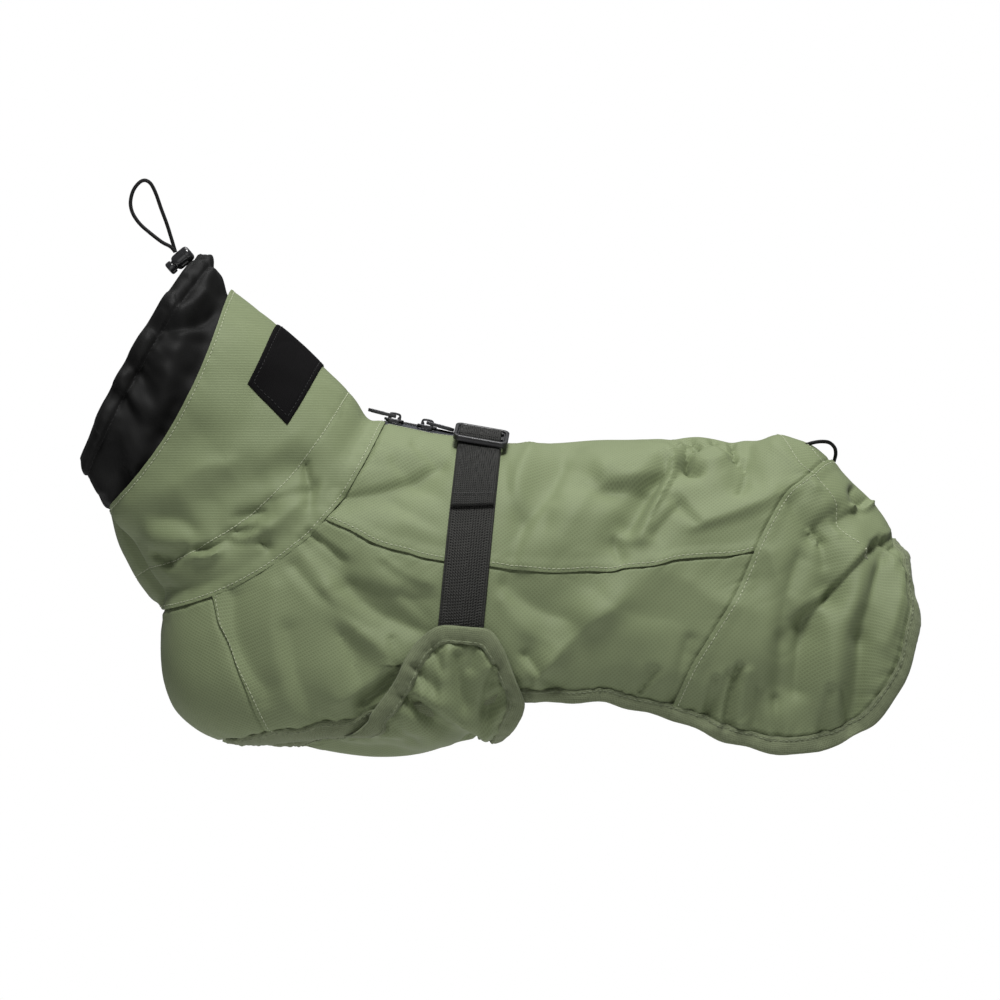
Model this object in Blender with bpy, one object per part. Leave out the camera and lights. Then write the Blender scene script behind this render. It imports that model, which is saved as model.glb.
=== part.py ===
"""Dog shell jacket in its worn, hollow shape.

+X runs from the neck to the tail, +Z is up and -Y is the dog's left side.  The origin lies on
the inner surface of the back, on the spine under the strap, where the wearer carries the jacket.

Every cloth piece is cut from one master surface: a fan of closed sections from the collar's rim
to the rump.  A place on it has two coordinates, the section number s (0 at the rim, 19 at the
rump) and the angle phi around the section (0 on the spine, positive on the left side, pi
underneath).  Lengths in the tables are millimetres.
"""
import math

import bmesh
import bpy
import numpy as np

MM = 0.001

# Driving dimensions, in millimetres.
CLOTH = 1.6              # wall of the shell cloth
SEAM_SHARE = 0.28        # how far each piece stays back from a seam line
GRID = 12.5              # usual size of a cloth facet
BELLY_GRID = 10.5        # size of the belly panel's facets along its edge
BINDING_PROUD = 0.35     # the binding's wall stands out by this on both sides
LABEL_WALL = 1.0
LAYER_AIR = 0.4          # air between things that lie on each other
STRAP_WIDTH = 24.0
STRAP_WALL = 1.4
STRAP_PRESS = 23.0       # how far from its middle line the strap flattens the folds
STRAP_LIFT = 2.2         # from the master surface to the strap's underside
BELLY_LIFT = 4.6         # the belly panel's wings lie over the coat and the strap's ends
LIFT_START = 8.0         # section behind the leg openings where the belly panel starts to rise
LIFT_RUN = 0.75          # sections that the rise takes
WING_START = 0.3         # angle from the middle underneath where the wings start to rise
WING_RUN = 0.3           # angle that the rise takes
LOWER_SQUARE = 3.4       # superellipse power of the lower half of a section
ZIP_HALF_TAPE = 6.0
ZIP_NOTCH = 6.6
CHAIN_HALF = 2.6
CORD_DIAMETER = 2.3
CORD_STEP = 5.5
SAMPLES = 16             # points of a path between two of its places

# Sections of the master surface, from the collar's rim to the rump.
# top_x, top_z, bottom_x, bottom_z, half_width, sag (how far the sides lie towards the tail)
SECTIONS = np.array((
    (-136, 82, -198, -35, 47.0, 10.5),   # 0 collar rim
    (-104, 57, -193.5, -52, 50.0, 14),     # 1
    (-72, 27, -184, -70, 54.0, 17),      # 2 stitch line on the collar
    (-62, 13, -178, -79, 56.0, 18.5),    # 3 neck base
    (-52, 10, -171, -89, 58.0, 21.5),     # 4 seam between collar and body
    (-37, 7, -170.5, -115, 61.5, 19),      # 5
    (-22, 4, -162.5, -143, 64.0, 16),      # 6
    (-7, 2, -138, -159, 65.5, 12),       # 7 bottom of the chest
    (12, -1, -98, -161.5, 66.0, 8),        # 8
    (34, -1, -42, -162.5, 66.0, 4),        # 9
    (57, 0, 3, -153.5, 65.0, 1),           # 10 belly
    (80, 0, 46, -163, 63.5, 0),          # 11
    (104, 1, 91, -174, 61.5, 0),         # 12
    (128, 1, 132, -185, 59.0, 0),        # 13
    (151, 2, 166, -193, 56.0, 0),        # 14
    (171, 0, 193, -196, 52.5, 0),        # 15
    (191, -12, 216, -198, 48.5, 0),      # 16
    (207, -32, 236, -196, 44.0, 0),      # 17
    (218, -43, 246, -195, 41.5, 0),      # 18
    (227.5, -59, 253.5, -193, 38.0, 0),  # 19 rump
), dtype=float)
LAST = len(SECTIONS) - 1
COLLAR_SEAM = 4.0
FRONT_HEM = 7.0
ZIP_END = 8.93
TAIL_SEAM = 15.92        # where the rear seam crosses the spine
TAIL_SEAM_START = math.radians(7)     # the panels' corner beside the spine there

# Largest folds, drawn on the side view; the right side has them shifted and scaled.
# start_x, start_z, end_x, end_z, bow, start_width, end_width, depth, right_side_scale
FOLDS = (
    (-94, -13, -140, -30, 4, 9, 12, 3.2, 0.8),       # hollow across the collar
    (-113, -36, -133, -52, 0, 6, 7, 2.8, 1.0),       # tuck in the collar
    (-142, -56, -178, -50, 0, 8, 8, -2.4, 0.9),      # ridge over the collar's seam
    (-51, -4, -12, -6, 0, 7, 7, -1.6, 0.7),          # ridge beside the zip
    (-10, -11, -70, -30, -5, 8, 9, 2.6, 0.9),        # fold below the zip
    (-84, -52, -25, -104, 5, 8, 12, 3.0, 1.1),       # long fold from shoulder to wing
    (-46, -63, -20, -84, 0, 6, 7, 2.2, 0.8),
    (-71, -99, -46, -131, 0, 12, 9, 2.6, 0.9),       # hollow in front of the wing
    (50, -6, 18, -67, 7, 9, 10, 2.8, 0.9),           # valley behind the strap
    (70, -25, 53, -22, 0, 7, 8, 2.4, 1.1),
    (58, -19, 112, -5, -3, 7, 7, -2.0, 0.8),         # ridge to the first back pinch
    (108, -11, 70, -54, 5, 6, 7, 3.2, 0.9),          # trough from the first back pinch
    (113, -3, 113, -15, 0, 6, 6, 3.4, 1.0),          # first back pinch
    (140, -3, 140, -22, 0, 6, 7, 3.6, 1.0),          # second back pinch
    (116, -43, 141, -36, 0, 8, 8, -2.0, 0.8),
    (27, -124, 92, -66, -4, 8, 12, -3.0, 0.9),       # ridge up from the wing's corner
    (29, -108, 47, -100, 0, 8, 8, 2.4, 0.8),
    (44, -105, 106, -104, 0, 12, 12, 1.8, 1.0),
    (168, -34, 183, -74, -4, 7, 8, 2.2, 0.8),
    (187, -78, 162, -128, 4, 8, 10, 3.4, 0.9),       # valley across the rear panel
    (207, -58, 188, -140, 4, 8, 10, -2.6, 1.0),      # ridge down the rear panel
    (213, -60, 199, -150, 3, 7, 8, 3.4, 0.9),        # second valley of the rear panel
    (204, -38, 177, -48, 0, 7, 7, 3.0, 1.0),         # hollow under the tail's fold
    (129, -125, 124, -147, 0, 7, 8, -2.4, 0.9),
)
FOLD_SHOULDER = 0.28     # height of the swell beside a fold, as a share of its depth
SPINE_FADE = 15.0        # folds fade out towards the spine over this width
RIGHT_SHIFT = 6.0        # how far the right side's folds are moved along the jacket

# Seams and edges on the left side, as side-view places: x, z.
SIDE_SEAM = ((-63, -49), (-42, -57), (-28, -61), (6, -65), (34, -68), (70, -67), (92, -64),
             (106, -61), (127, -60), (146, -57))
REAR_SEAM_TOP = ((176, -18), (163, -28), (155, -40), (150, -49))
REAR_SEAM_LOW = ((146, -57), (137, -77), (127, -93), (117, -109), (110, -122), (103, -140))
CHEST_SEAM = ((-137, -94), (-131, -107), (-126, -121), (-121, -133), (-116, -145), (-112, -152))
# Hem binding: inner edge x, z and outer edge x, z.
HEM = (
    (-112, -152, -106, -159), (-95, -150, -90, -157), (-80, -147.5, -77, -155.5),
    (-68, -146, -65, -153.5), (-54, -141, -52, -149), (-31, -136, -30, -144),
    (-5, -132, -4, -140), (24, -129, 24, -136.5), (47, -130, 46, -137), (67, -130, 66, -138),
    (86, -136, 84, -143.5), (103, -139.5, 100, -147.5), (118, -145, 116, -153.5),
    (135, -151.5, 133, -160.5), (156, -156.5, 156, -165.5), (178, -155, 180, -164.5),
    (198, -149, 202.5, -155.5), (209, -138, 214.5, -145.5), (219.5, -122, 225.5, -129),
    (225, -105, 231.5, -111.5),
)
SEAM_ROW = 11            # the hem row where the rear seam ends
CORNER_ROW = 16          # the hem row at the rear corner
REAR_BINDING = 0.46      # width of the binding on the spine, in sections

# Belly panel edge under the body: section, outer distance and inner distance from the middle.
BELLY_FRONT = ((7.0, 22, 13.5), (7.5, 18, 9.5), (8.0, 18, 9.5))
# Belly panel edge on the side: outer x, z and inner x, z.
BELLY_SIDE = (
    (-63, -153, -54, -156), (-56, -143, -48, -148), (-47, -129, -39, -134),
    (-39, -115, -31, -119.5), (-31, -104, -25, -110.5), (-21, -96, -18, -105.5),
    (-8, -95.5, -8.5, -105.5), (5, -97.5, 0, -107), (12, -106.5, 4.5, -112.5),
    (19, -121, 11, -124.5), (23.5, -133, 14.5, -133), (22.5, -140, 13.5, -138), (19.5, -145.5, 10.5, -142.5),
)
WING_CORNER_ROW = 7      # the row of BELLY_SIDE at the wing's rear top corner
# section of the outer edge, its distance, section of the inner edge, its distance
BELLY_REAR = ((10.25, 32, 10.03, 29), (10.15, 16, 9.93, 15), (10.1, 0.3, 9.89, 0.3))

# Snood rings outside the collar: top_x, top_z, bottom_x, bottom_z, half_width, sag, ripple
SNOOD_RINGS = (
    (-141.5, 86.5, -202.5, -33, 44.0, 7, 0.5),
    (-144.5, 93, -207, -26, 45.5, 4, 1.2),
    (-148, 98, -211, -18, 44.0, 0, 1.7),
    (-151.5, 100.4, -213, -12.5, 41.0, -1.5, 2.1),
    (-154.5, 100.0, -214.5, -8.5, 38.0, -3, 2.3),
)
# Snood rings inside the collar: section, height of the outer face.
SNOOD_INSIDE = ((2.15, -3.2), (1.6, -3.3), (1.0, -3.4), (0.5, -3.4), (0.05, -3.6))
SNOOD_WAVES = 15
SNOOD_FOLLOWS = 0.7      # how much of the collar's front valley the snood takes up

# Route of the cord loop at the snood's top: x, y, z.
SNOOD_CORD_ROUTE = (
    (-164.3, -12.4, 103.4), (-166.8, -12.4, 106.2), (-171.4, -12.4, 108.7), (-177.8, -12.2, 113.6),
    (-183.4, -12.0, 118.6), (-187.2, -11.8, 124.2), (-188.5, -11.4, 130.0), (-187.2, -11.0, 136.2),
    (-184.2, -10.6, 140.6), (-181.0, -10.4, 142.2), (-177.8, -10.2, 140.5), (-175.0, -10.0, 135.2),
    (-172.2, -9.8, 127.2), (-169.1, -9.5, 118.8), (-166.6, -9.3, 110.8), (-164.4, -9.2, 103.4),
)
# Route of the elastic loop at the tail: x, y, z.
TAIL_LOOP_ROUTE = (
    (175.9, -9.1, -0.7), (180.2, -9.4, 0.6), (185.0, -8.0, 1.2), (189.4, -4.0, 0.6),
    (192.6, 1.5, -2.0), (193.6, 6.0, -5.2), (193.2, 9.0, -8.4), (192.2, 10.2, -11.6),
)

# Colours: name -> base colour, roughness.
COLOURS = {
    "sage_cloth": ((0.153, 0.188, 0.108), 0.75),
    "sage_binding": ((0.122, 0.150, 0.085), 0.8),
    "black_cloth": ((0.012, 0.012, 0.012), 0.8),
    "black_webbing": ((0.022, 0.022, 0.020), 0.85),
    "black_plastic": ((0.015, 0.015, 0.016), 0.4),
    "black_cord": ((0.014, 0.014, 0.014), 0.8),
    "dark_metal": ((0.05, 0.05, 0.052), 0.35),
}


def clear_scene():
    for item in list(bpy.data.objects):
        bpy.data.objects.remove(item, do_unlink=True)


def material(name):
    """Principled material of the named colour."""
    found = bpy.data.materials.get(name)
    if found:
        return found
    colour, roughness = COLOURS[name]
    made = bpy.data.materials.new(name)
    made.use_nodes = True
    shader = made.node_tree.nodes["Principled BSDF"]
    shader.inputs["Base Color"].default_value = (*colour, 1.0)
    shader.inputs["Roughness"].default_value = roughness
    shader.inputs["Metallic"].default_value = 0.6 if name == "dark_metal" else 0.0
    made.diffuse_color = (*colour, 1.0)
    return made


# ---------------------------------------------------------------- master surface

def cubic(table, u):
    """Smooth curve through the rows of a table, read at row numbers u."""
    table = np.asarray(table, float)
    u = np.clip(np.asarray(u, float), 0, len(table) - 1)
    row = np.minimum(u.astype(int), len(table) - 2)
    ends = np.concatenate(([2 * table[0] - table[1]], table, [2 * table[-1] - table[-2]]))
    before, start, end, after = (ends[row + k] for k in range(4))
    t = (u - row).reshape(u.shape + (1,) * (table.ndim - 1))
    return 0.5 * (2 * start + (end - before) * t
                  + (2 * before - 5 * start + 4 * end - after) * t ** 2
                  + (3 * start - 3 * end + after - before) * t ** 3)


def smooth(t):
    t = np.clip(t, 0, 1)
    return t * t * (3 - 2 * t)


def ring_point(top_x, top_z, bottom_x, bottom_z, half_width, sag, phi):
    """Point on a closed section; its upper half is an ellipse and its lower half squarer."""
    cosine, sine = np.cos(phi), np.sin(phi)
    power = np.where(cosine > 0, 2.0, LOWER_SQUARE)
    reach = (np.abs(cosine) ** power + np.abs(sine) ** power) ** (-1 / power)
    share = (1 - reach * cosine) / 2
    run_x, run_z = bottom_x - top_x, bottom_z - top_z
    length = np.hypot(run_x, run_z)
    bulge = sag * 4 * share * (1 - share) / length
    return np.stack((top_x + run_x * share - run_z * bulge,
                     -half_width * reach * sine,
                     top_z + run_z * share + run_x * bulge), axis=-1)


def base_point(s, phi):
    columns = cubic(SECTIONS, s)
    return ring_point(*(columns[..., k] for k in range(6)), phi)


def base_normal(s, phi):
    step = 0.012
    low, high = np.clip(s - step, 0, LAST), np.clip(s + step, 0, LAST)
    along = base_point(high, phi) - base_point(low, phi)
    around = base_point(s, phi + step) - base_point(s, phi - step)
    normal = np.cross(around, along)
    return normal / np.linalg.norm(normal, axis=-1, keepdims=True)


def fold_height(x, z, rows, shift, scaled):
    """Height of the folds over the master surface at side-view places."""
    height = np.zeros_like(x)
    for number, row in enumerate(rows):
        x0, z0, x1, z1, bow, width0, width1, depth, scale = row
        move = shift * (1 if number % 2 else -0.6)
        run_x, run_z = x1 - x0, z1 - z0
        length = math.hypot(run_x, run_z)
        t = ((x - x0 - move) * run_x + (z - z0) * run_z) / length ** 2
        aside = ((x - x0 - move) * run_z - (z - z0) * run_x) / length
        inside = np.clip(t, 0, 1)
        width = width0 + (width1 - width0) * inside
        u = (aside - bow * 4 * inside * (1 - inside)) / width
        past = np.maximum(-t, t - 1).clip(0) * length / width
        shape = np.exp(-u ** 2) - FOLD_SHOULDER * np.exp(-1.5 * (np.abs(u) - 1.8) ** 2)
        height -= depth * (scale if scaled else 1.0) * shape * np.exp(-past ** 2)
    return height


def strap_line(z):
    """The strap's middle line on the side view."""
    return 0.1 * np.minimum(z, 0)


def front_lobes(s, phi):
    """The collar's front has a valley on its middle line and a fuller right lobe."""
    from_front = math.pi - np.abs(np.arctan2(np.sin(phi), np.cos(phi)))
    reach = 1 - smooth((s - 2.6) / 1.6)
    valley = -5.0 * np.exp(-(from_front / 0.24) ** 2)
    lobe = 5.0 * np.exp(-((from_front - 0.5) / 0.35) ** 2) * (np.sin(phi) < 0)
    return (valley + lobe) * reach


def relief(s, phi, point):
    x, y, z = point[..., 0], point[..., 1], point[..., 2]
    left = fold_height(x, z, FOLDS, 0.0, False) * smooth(-y / SPINE_FADE)
    right = fold_height(x, z, FOLDS, RIGHT_SHIFT, True) * smooth(y / SPINE_FADE)
    pressed = 1 - 0.95 * np.exp(-((x - strap_line(z)) / STRAP_PRESS) ** 4)
    return (left + right) * pressed + front_lobes(s, phi)


def cloth_point(s, phi, offset):
    """Point at a height over the folded cloth's inner face."""
    s, phi = np.asarray(s, float), np.asarray(phi, float)
    base = base_point(s, phi)
    height = relief(s, phi, base) + offset
    return base + base_normal(s, phi) * np.asarray(height)[..., None]


# ---------------------------------------------------------------- places on the surface

def side_place(x, z):
    """Section and angle of the left side's point at a side-view place."""
    low, high = 0.0, float(LAST)
    for _ in range(40):
        s = (low + high) / 2
        top_x, top_z, bottom_x, bottom_z, _, sag = cubic(SECTIONS, s)
        length = math.hypot(bottom_x - top_x, bottom_z - top_z)
        run_x, run_z = (bottom_x - top_x) / length, (bottom_z - top_z) / length
        share = ((x - top_x) * run_x + (z - top_z) * run_z) / length
        share = min(max(share, 0.0), 1.0)
        aside = (z - top_z) * run_x - (x - top_x) * run_z - sag * 4 * share * (1 - share)
        if aside > 0:
            low = s
        else:
            high = s
    height = 1 - 2 * share
    power = 2.0 if height > 0 else LOWER_SQUARE
    return s, math.atan2((1 - abs(height) ** power) ** (1 / power), height)


def under_place(s, distance):
    """Place underneath, at a distance from the middle line."""
    across = distance / cubic(SECTIONS, s)[4]
    height = -(1 - across ** LOWER_SQUARE) ** (1 / LOWER_SQUARE)
    return s, math.atan2(across, height)


def top_place(s, distance):
    """Place near the spine, at a distance from it."""
    return s, math.asin(distance / cubic(SECTIONS, s)[4])


def measure(line):
    points = base_point(line[:, 0], line[:, 1])
    steps = np.linalg.norm(np.diff(points, axis=0), axis=1)
    return np.concatenate(([0], np.cumsum(steps)))


def path(places):
    """Dense smooth line through places given as section and angle."""
    places = np.array(places, float)
    line = cubic(places, np.linspace(0, len(places) - 1, SAMPLES * (len(places) - 1) + 1))
    line[:, 0] = np.clip(line[:, 0], 0, LAST)
    return line


def rows_of(line, first, last):
    """The stretch of a path between two of the places it was made from."""
    return line[SAMPLES * first:SAMPLES * last + 1]


def spread(line, count, twin=None):
    """Places at even distances on a line, or the same places on its twin line."""
    length = measure(line)
    index = np.interp(np.linspace(0, length[-1], count + 1), length, np.arange(len(line)))
    line = line if twin is None else twin
    return np.stack([np.interp(index, np.arange(len(line)), line[:, k]) for k in (0, 1)], axis=-1)


def join(*parts):
    """Places of several stretches one after another, shared ends once."""
    return np.concatenate([parts[0]] + [part[1:] for part in parts[1:]])


def cells(line, size=GRID):
    return max(2, round(measure(line)[-1] / size))


def patch(top, bottom, left, right):
    """Grid of places between four rows of places; its rows run from top to bottom."""
    u = np.linspace(0, 1, len(top))[None, :, None]
    v = np.linspace(0, 1, len(left))[:, None, None]
    grid = (1 - u) * left[:, None] + u * right[:, None] + (1 - v) * top[None] + v * bottom[None]
    grid -= ((1 - u) * (1 - v) * top[0] + u * (1 - v) * top[-1]
             + (1 - u) * v * bottom[0] + u * v * bottom[-1])
    return grid[..., 0], grid[..., 1]


def mirrored(s, phi, about):
    """A half grid and its mirror image across the middle line, joined on the last row."""
    return (np.concatenate((s, s[-2::-1])),
            np.concatenate((phi, 2 * about - phi[-2::-1])))


# ---------------------------------------------------------------- solids

def add_object(name, mesh, colour):
    mesh.materials.append(material(colour))
    made = bpy.data.objects.new(name, mesh)
    bpy.context.collection.objects.link(made)
    return made


def mesh_from(name, points, faces):
    """Closed mesh in metres with its faces turned outwards."""
    mesh = bpy.data.meshes.new(name)
    mesh.from_pydata([tuple(p) for p in np.asarray(points) * MM], [], faces)
    work = bmesh.new()
    work.from_mesh(mesh)
    bmesh.ops.recalc_face_normals(work, faces=work.faces)
    work.to_mesh(mesh)
    work.free()
    mesh.shade_smooth()
    mesh.set_sharp_from_angle(angle=math.radians(40))
    return mesh


def stay_back(points, shares):
    """Pull a grid's four edges in by their shares: first row, last row, first and last column."""
    for axis, end, share in ((0, 0, shares[0]), (0, -1, shares[1]), (1, 0, shares[2]),
                             (1, -1, shares[3])):
        if not share:
            continue
        grid = points if axis == 0 else points.swapaxes(0, 1)
        inward = grid[1 if end == 0 else -2] - grid[end]
        grid[end] += share * inward / np.linalg.norm(inward, axis=-1, keepdims=True)
    return points


def wall_faces(rows, columns, keep, closed):
    """Faces of a wall over the kept cells: outer, inner and round every open edge."""
    inner = rows * columns
    across = columns if closed else columns - 1
    faces, edges = [], {}
    for i in range(rows - 1):
        for j in range(across):
            if keep is not None and not keep[i, j]:
                continue
            k = (j + 1) % columns
            corners = (i * columns + j, i * columns + k,
                       (i + 1) * columns + k, (i + 1) * columns + j)
            faces.append(corners)
            faces.append(tuple(inner + c for c in reversed(corners)))
            for a, b in zip(corners, corners[1:] + corners[:1]):
                if (b, a) in edges:
                    del edges[(b, a)]
                else:
                    edges[(a, b)] = True
    faces.extend((b, a, inner + a, inner + b) for a, b in edges)
    return faces


def wall(name, outer, inner, colour, keep=None, closed=False):
    """Solid between two grids of points."""
    rows, columns = outer.shape[:2]
    faces = wall_faces(rows, columns, keep, closed)
    points = np.concatenate((outer.reshape(-1, 3), inner.reshape(-1, 3)))
    used = sorted({v for face in faces for v in face})
    renumber = {old: new for new, old in enumerate(used)}
    faces = [tuple(renumber[v] for v in face) for face in faces]
    return add_object(name, mesh_from(name, points[used], faces), colour)


def cloth(name, s, phi, low, high, colour, shares=(SEAM_SHARE,) * 4, keep=None, closed=False):
    """Cloth piece between two heights over the master surface."""
    outer = stay_back(cloth_point(s, phi, high), shares)
    inner = stay_back(cloth_point(s, phi, low), shares)
    return wall(name, outer, inner, colour, keep, closed)


def loft(name, rings, colour):
    """Solid through closed rings of points, with its two ends capped."""
    rings = np.asarray(rings)
    count, around = rings.shape[:2]
    faces = [(i * around + j, i * around + (j + 1) % around,
              (i + 1) * around + (j + 1) % around, (i + 1) * around + j)
             for i in range(count - 1) for j in range(around)]
    faces.append(tuple(reversed(range(around))))
    faces.append(tuple((count - 1) * around + j for j in range(around)))
    return add_object(name, mesh_from(name, rings.reshape(-1, 3), faces), colour)


def blocks(name, xs, ys, zs, solid, frame, colour, bevel):
    """Solid of the filled cells of a small block grid, placed by a local frame.

    solid(i, j, k) says whether a cell is filled; frame turns local millimetres into the part's.
    """
    counts = (len(xs) - 1, len(ys) - 1, len(zs) - 1)
    steps = {0: ((0, 0, 0), (0, 1, 0), (0, 1, 1), (0, 0, 1)),
             1: ((0, 0, 0), (0, 0, 1), (1, 0, 1), (1, 0, 0)),
             2: ((0, 0, 0), (1, 0, 0), (1, 1, 0), (0, 1, 0))}
    numbers, points, faces = {}, [], []

    def filled(cell):
        return all(0 <= c < n for c, n in zip(cell, counts)) and solid(*cell)

    def number(corner):
        if corner not in numbers:
            numbers[corner] = len(points)
            points.append(frame((xs[corner[0]], ys[corner[1]], zs[corner[2]])))
        return numbers[corner]

    for i in range(counts[0]):
        for j in range(counts[1]):
            for k in range(counts[2]):
                if not filled((i, j, k)):
                    continue
                for axis, offsets in steps.items():
                    for side in (0, 1):
                        beyond = [i, j, k]
                        beyond[axis] += 1 if side else -1
                        if filled(tuple(beyond)):
                            continue
                        start = [i, j, k]
                        start[axis] += side
                        faces.append(tuple(number(tuple(a + b for a, b in zip(start, o)))
                                           for o in offsets))
    made = add_object(name, mesh_from(name, points, faces), colour)
    if bevel:
        rounding = made.modifiers.new("rounding", 'BEVEL')
        rounding.width = bevel * MM
        rounding.segments = 2
        rounding.limit_method = 'ANGLE'
    return made


def cord(name, route, diameter, colour):
    """Cord tube along a smooth route, with a point every two or three diameters."""
    route = np.asarray(route, float)
    dense = cubic(route, np.linspace(0, len(route) - 1, 40 * len(route)))
    length = np.concatenate(([0], np.cumsum(np.linalg.norm(np.diff(dense, axis=0), axis=1))))
    wanted = np.linspace(0, length[-1], round(length[-1] / CORD_STEP) + 1)
    places = np.stack([np.interp(wanted, length, dense[:, k]) for k in range(3)], axis=-1) * MM
    curve = bpy.data.curves.new(name, 'CURVE')
    curve.dimensions = '3D'
    curve.bevel_depth = diameter * MM / 2
    curve.bevel_resolution = 2
    curve.use_fill_caps = True
    line = curve.splines.new('POLY')
    line.points.add(len(places) - 1)
    for point, place in zip(line.points, places):
        point.co = (*place, 1.0)
    curve.materials.append(material(colour))
    made = bpy.data.objects.new(name, curve)
    bpy.context.collection.objects.link(made)
    return made


# ---------------------------------------------------------------- lines that pieces share

def side_path(rows):
    return [side_place(x, z) for x, z in rows]


SIDE_START = (COLLAR_SEAM, math.radians(73))
CHEST_START = (COLLAR_SEAM, math.radians(124))
side_seam = path([SIDE_START] + side_path(SIDE_SEAM))
rear_seam_top = path(side_path([SIDE_SEAM[-1]] + list(reversed(REAR_SEAM_TOP)))
                     + [(TAIL_SEAM - 0.12, math.radians(12)), (TAIL_SEAM, 0.0)])
tail_seam = rear_seam_top[rear_seam_top[:, 1] >= TAIL_SEAM_START][::-1]
rear_seam_low = path(side_path(REAR_SEAM_LOW))
chest_seam = path([CHEST_START] + side_path(CHEST_SEAM))
hem_places = side_path([row[:2] for row in HEM])
hem_places[0] = tuple(chest_seam[-1])
front_places = [under_place(FRONT_HEM, 34), under_place(FRONT_HEM + 0.15, 38)]
rear_places = [(LAST - 0.72, math.radians(62)), (LAST - 0.55, math.radians(38)),
               (LAST - REAR_BINDING, math.radians(18)), (LAST - REAR_BINDING, 0.0)]
hem_inner = path(front_places + hem_places + rear_places)
hem_outer = path([under_place(FRONT_HEM + 0.08, 26.5), under_place(FRONT_HEM + 0.3, 28)]
                 + side_path([row[2:] for row in HEM])
                 + [(LAST - 0.06, math.radians(62)), (LAST, math.radians(38)),
                    (LAST, math.radians(18)), (LAST, 0.0)])
HEM_START = len(front_places)
HEM_STOPS = (0, HEM_START, HEM_START + SEAM_ROW, HEM_START + CORNER_ROW,
             HEM_START + len(HEM) + len(rear_places) - 1)
collar_back = path([top_place(COLLAR_SEAM, ZIP_NOTCH), SIDE_START])
collar_side = path([SIDE_START, CHEST_START])
collar_front = path([CHEST_START, (COLLAR_SEAM, math.pi)])
BACK_ROWS = cells(collar_back)
SIDE_ROWS = (cells(collar_side), cells(chest_seam))
SIDE_COLUMNS = cells(side_seam)
HEM_CELLS = (2, SIDE_COLUMNS, cells(rows_of(hem_inner, *HEM_STOPS[2:4])),
             1 + BACK_ROWS + sum(SIDE_ROWS))
FRONT_CELLS = 4


def hem_part(number, twin=None):
    """Places along one of the hem's four stretches, on its inner edge or on a twin line."""
    first, last = HEM_STOPS[number:number + 2]
    twin = twin if twin is None else rows_of(twin, first, last)
    return spread(rows_of(hem_inner, first, last), HEM_CELLS[number], twin)


# ---------------------------------------------------------------- pieces

def collar():
    rows = np.linspace(0, COLLAR_SEAM, 12)
    angles = np.linspace(0, 2 * math.pi, 40, endpoint=False)
    s, phi = np.meshgrid(rows, angles, indexing='ij')
    cloth("collar", s, phi, 0, CLOTH, "sage_cloth", (0, SEAM_SHARE, 0, 0), closed=True)


def collar_label():
    s, phi = np.meshgrid(np.linspace(0.77, 1.51, 5), np.radians(np.linspace(-58, 58, 15)),
                         indexing='ij')
    low = CLOTH + LAYER_AIR
    cloth("collar_label", s, phi, low, low + LABEL_WALL, "black_cloth", (0,) * 4)


def snood():
    """Gathered tube from inside the collar out past its rim."""
    angles = np.linspace(0, 2 * math.pi, 72, endpoint=False)
    uneven = angles + 0.10 * np.sin(3 * angles + 1) + 0.05 * np.sin(7 * angles)
    wave = np.sin(SNOOD_WAVES * uneven) * (1 + 0.3 * np.sin(5 * angles + 2))
    outer, inner = [], []
    for s, height in SNOOD_INSIDE:
        level = np.full_like(angles, s)
        outer.append(cloth_point(level, angles, height))
        inner.append(cloth_point(level, angles, height - CLOTH))
    for top_x, top_z, bottom_x, bottom_z, half_width, sag, ripple in SNOOD_RINGS:
        ring = ring_point(top_x, top_z, bottom_x, bottom_z, half_width, sag, angles)
        centre = ring.mean(axis=0)
        out = (ring - centre) / np.linalg.norm(ring - centre, axis=1, keepdims=True)
        lobes = front_lobes(0.0, angles) * SNOOD_FOLLOWS
        rippled = ring + out * (ripple * wave + lobes)[:, None]
        outer.append(rippled)
        inner.append(rippled - out * CLOTH)
    where = np.linspace(0, len(outer) - 1, 9)
    wall("snood", cubic(outer, where), cubic(inner, where), "black_cloth", closed=True)


def back_panel():
    """Back from the collar to the tail, with a notch for the zip on the spine."""
    edge = path([top_place(s, ZIP_NOTCH) for s in (COLLAR_SEAM, 6.5, ZIP_END, 12.5)]
                + [tuple(tail_seam[0])])
    s, phi = patch(spread(edge, SIDE_COLUMNS), spread(side_seam, SIDE_COLUMNS),
                   spread(collar_back, BACK_ROWS), spread(tail_seam, BACK_ROWS))
    notch_column = int(np.argmin(np.abs(s[0] - ZIP_END)))
    s[0, notch_column] = ZIP_END
    spine = s[0].copy()
    spine[-1] = TAIL_SEAM
    s = np.concatenate((s[::-1], spine[None], s))
    phi = np.concatenate((phi[::-1], np.zeros((1, SIDE_COLUMNS + 1)), -phi))
    middle = len(s) // 2
    keep = np.ones((len(s) - 1, SIDE_COLUMNS), bool)
    keep[middle - 1:middle + 1, :notch_column] = False
    cloth("back_panel", s, phi, 0, CLOTH, "sage_cloth", keep=keep)


def side_panel(name, side):
    front = join(spread(collar_side, SIDE_ROWS[0]), spread(chest_seam, SIDE_ROWS[1]))
    s, phi = patch(spread(side_seam, SIDE_COLUMNS), hem_part(1), front,
                   spread(rear_seam_low, sum(SIDE_ROWS)))
    cloth(name, s, side * phi, 0, CLOTH, "sage_cloth")


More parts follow.
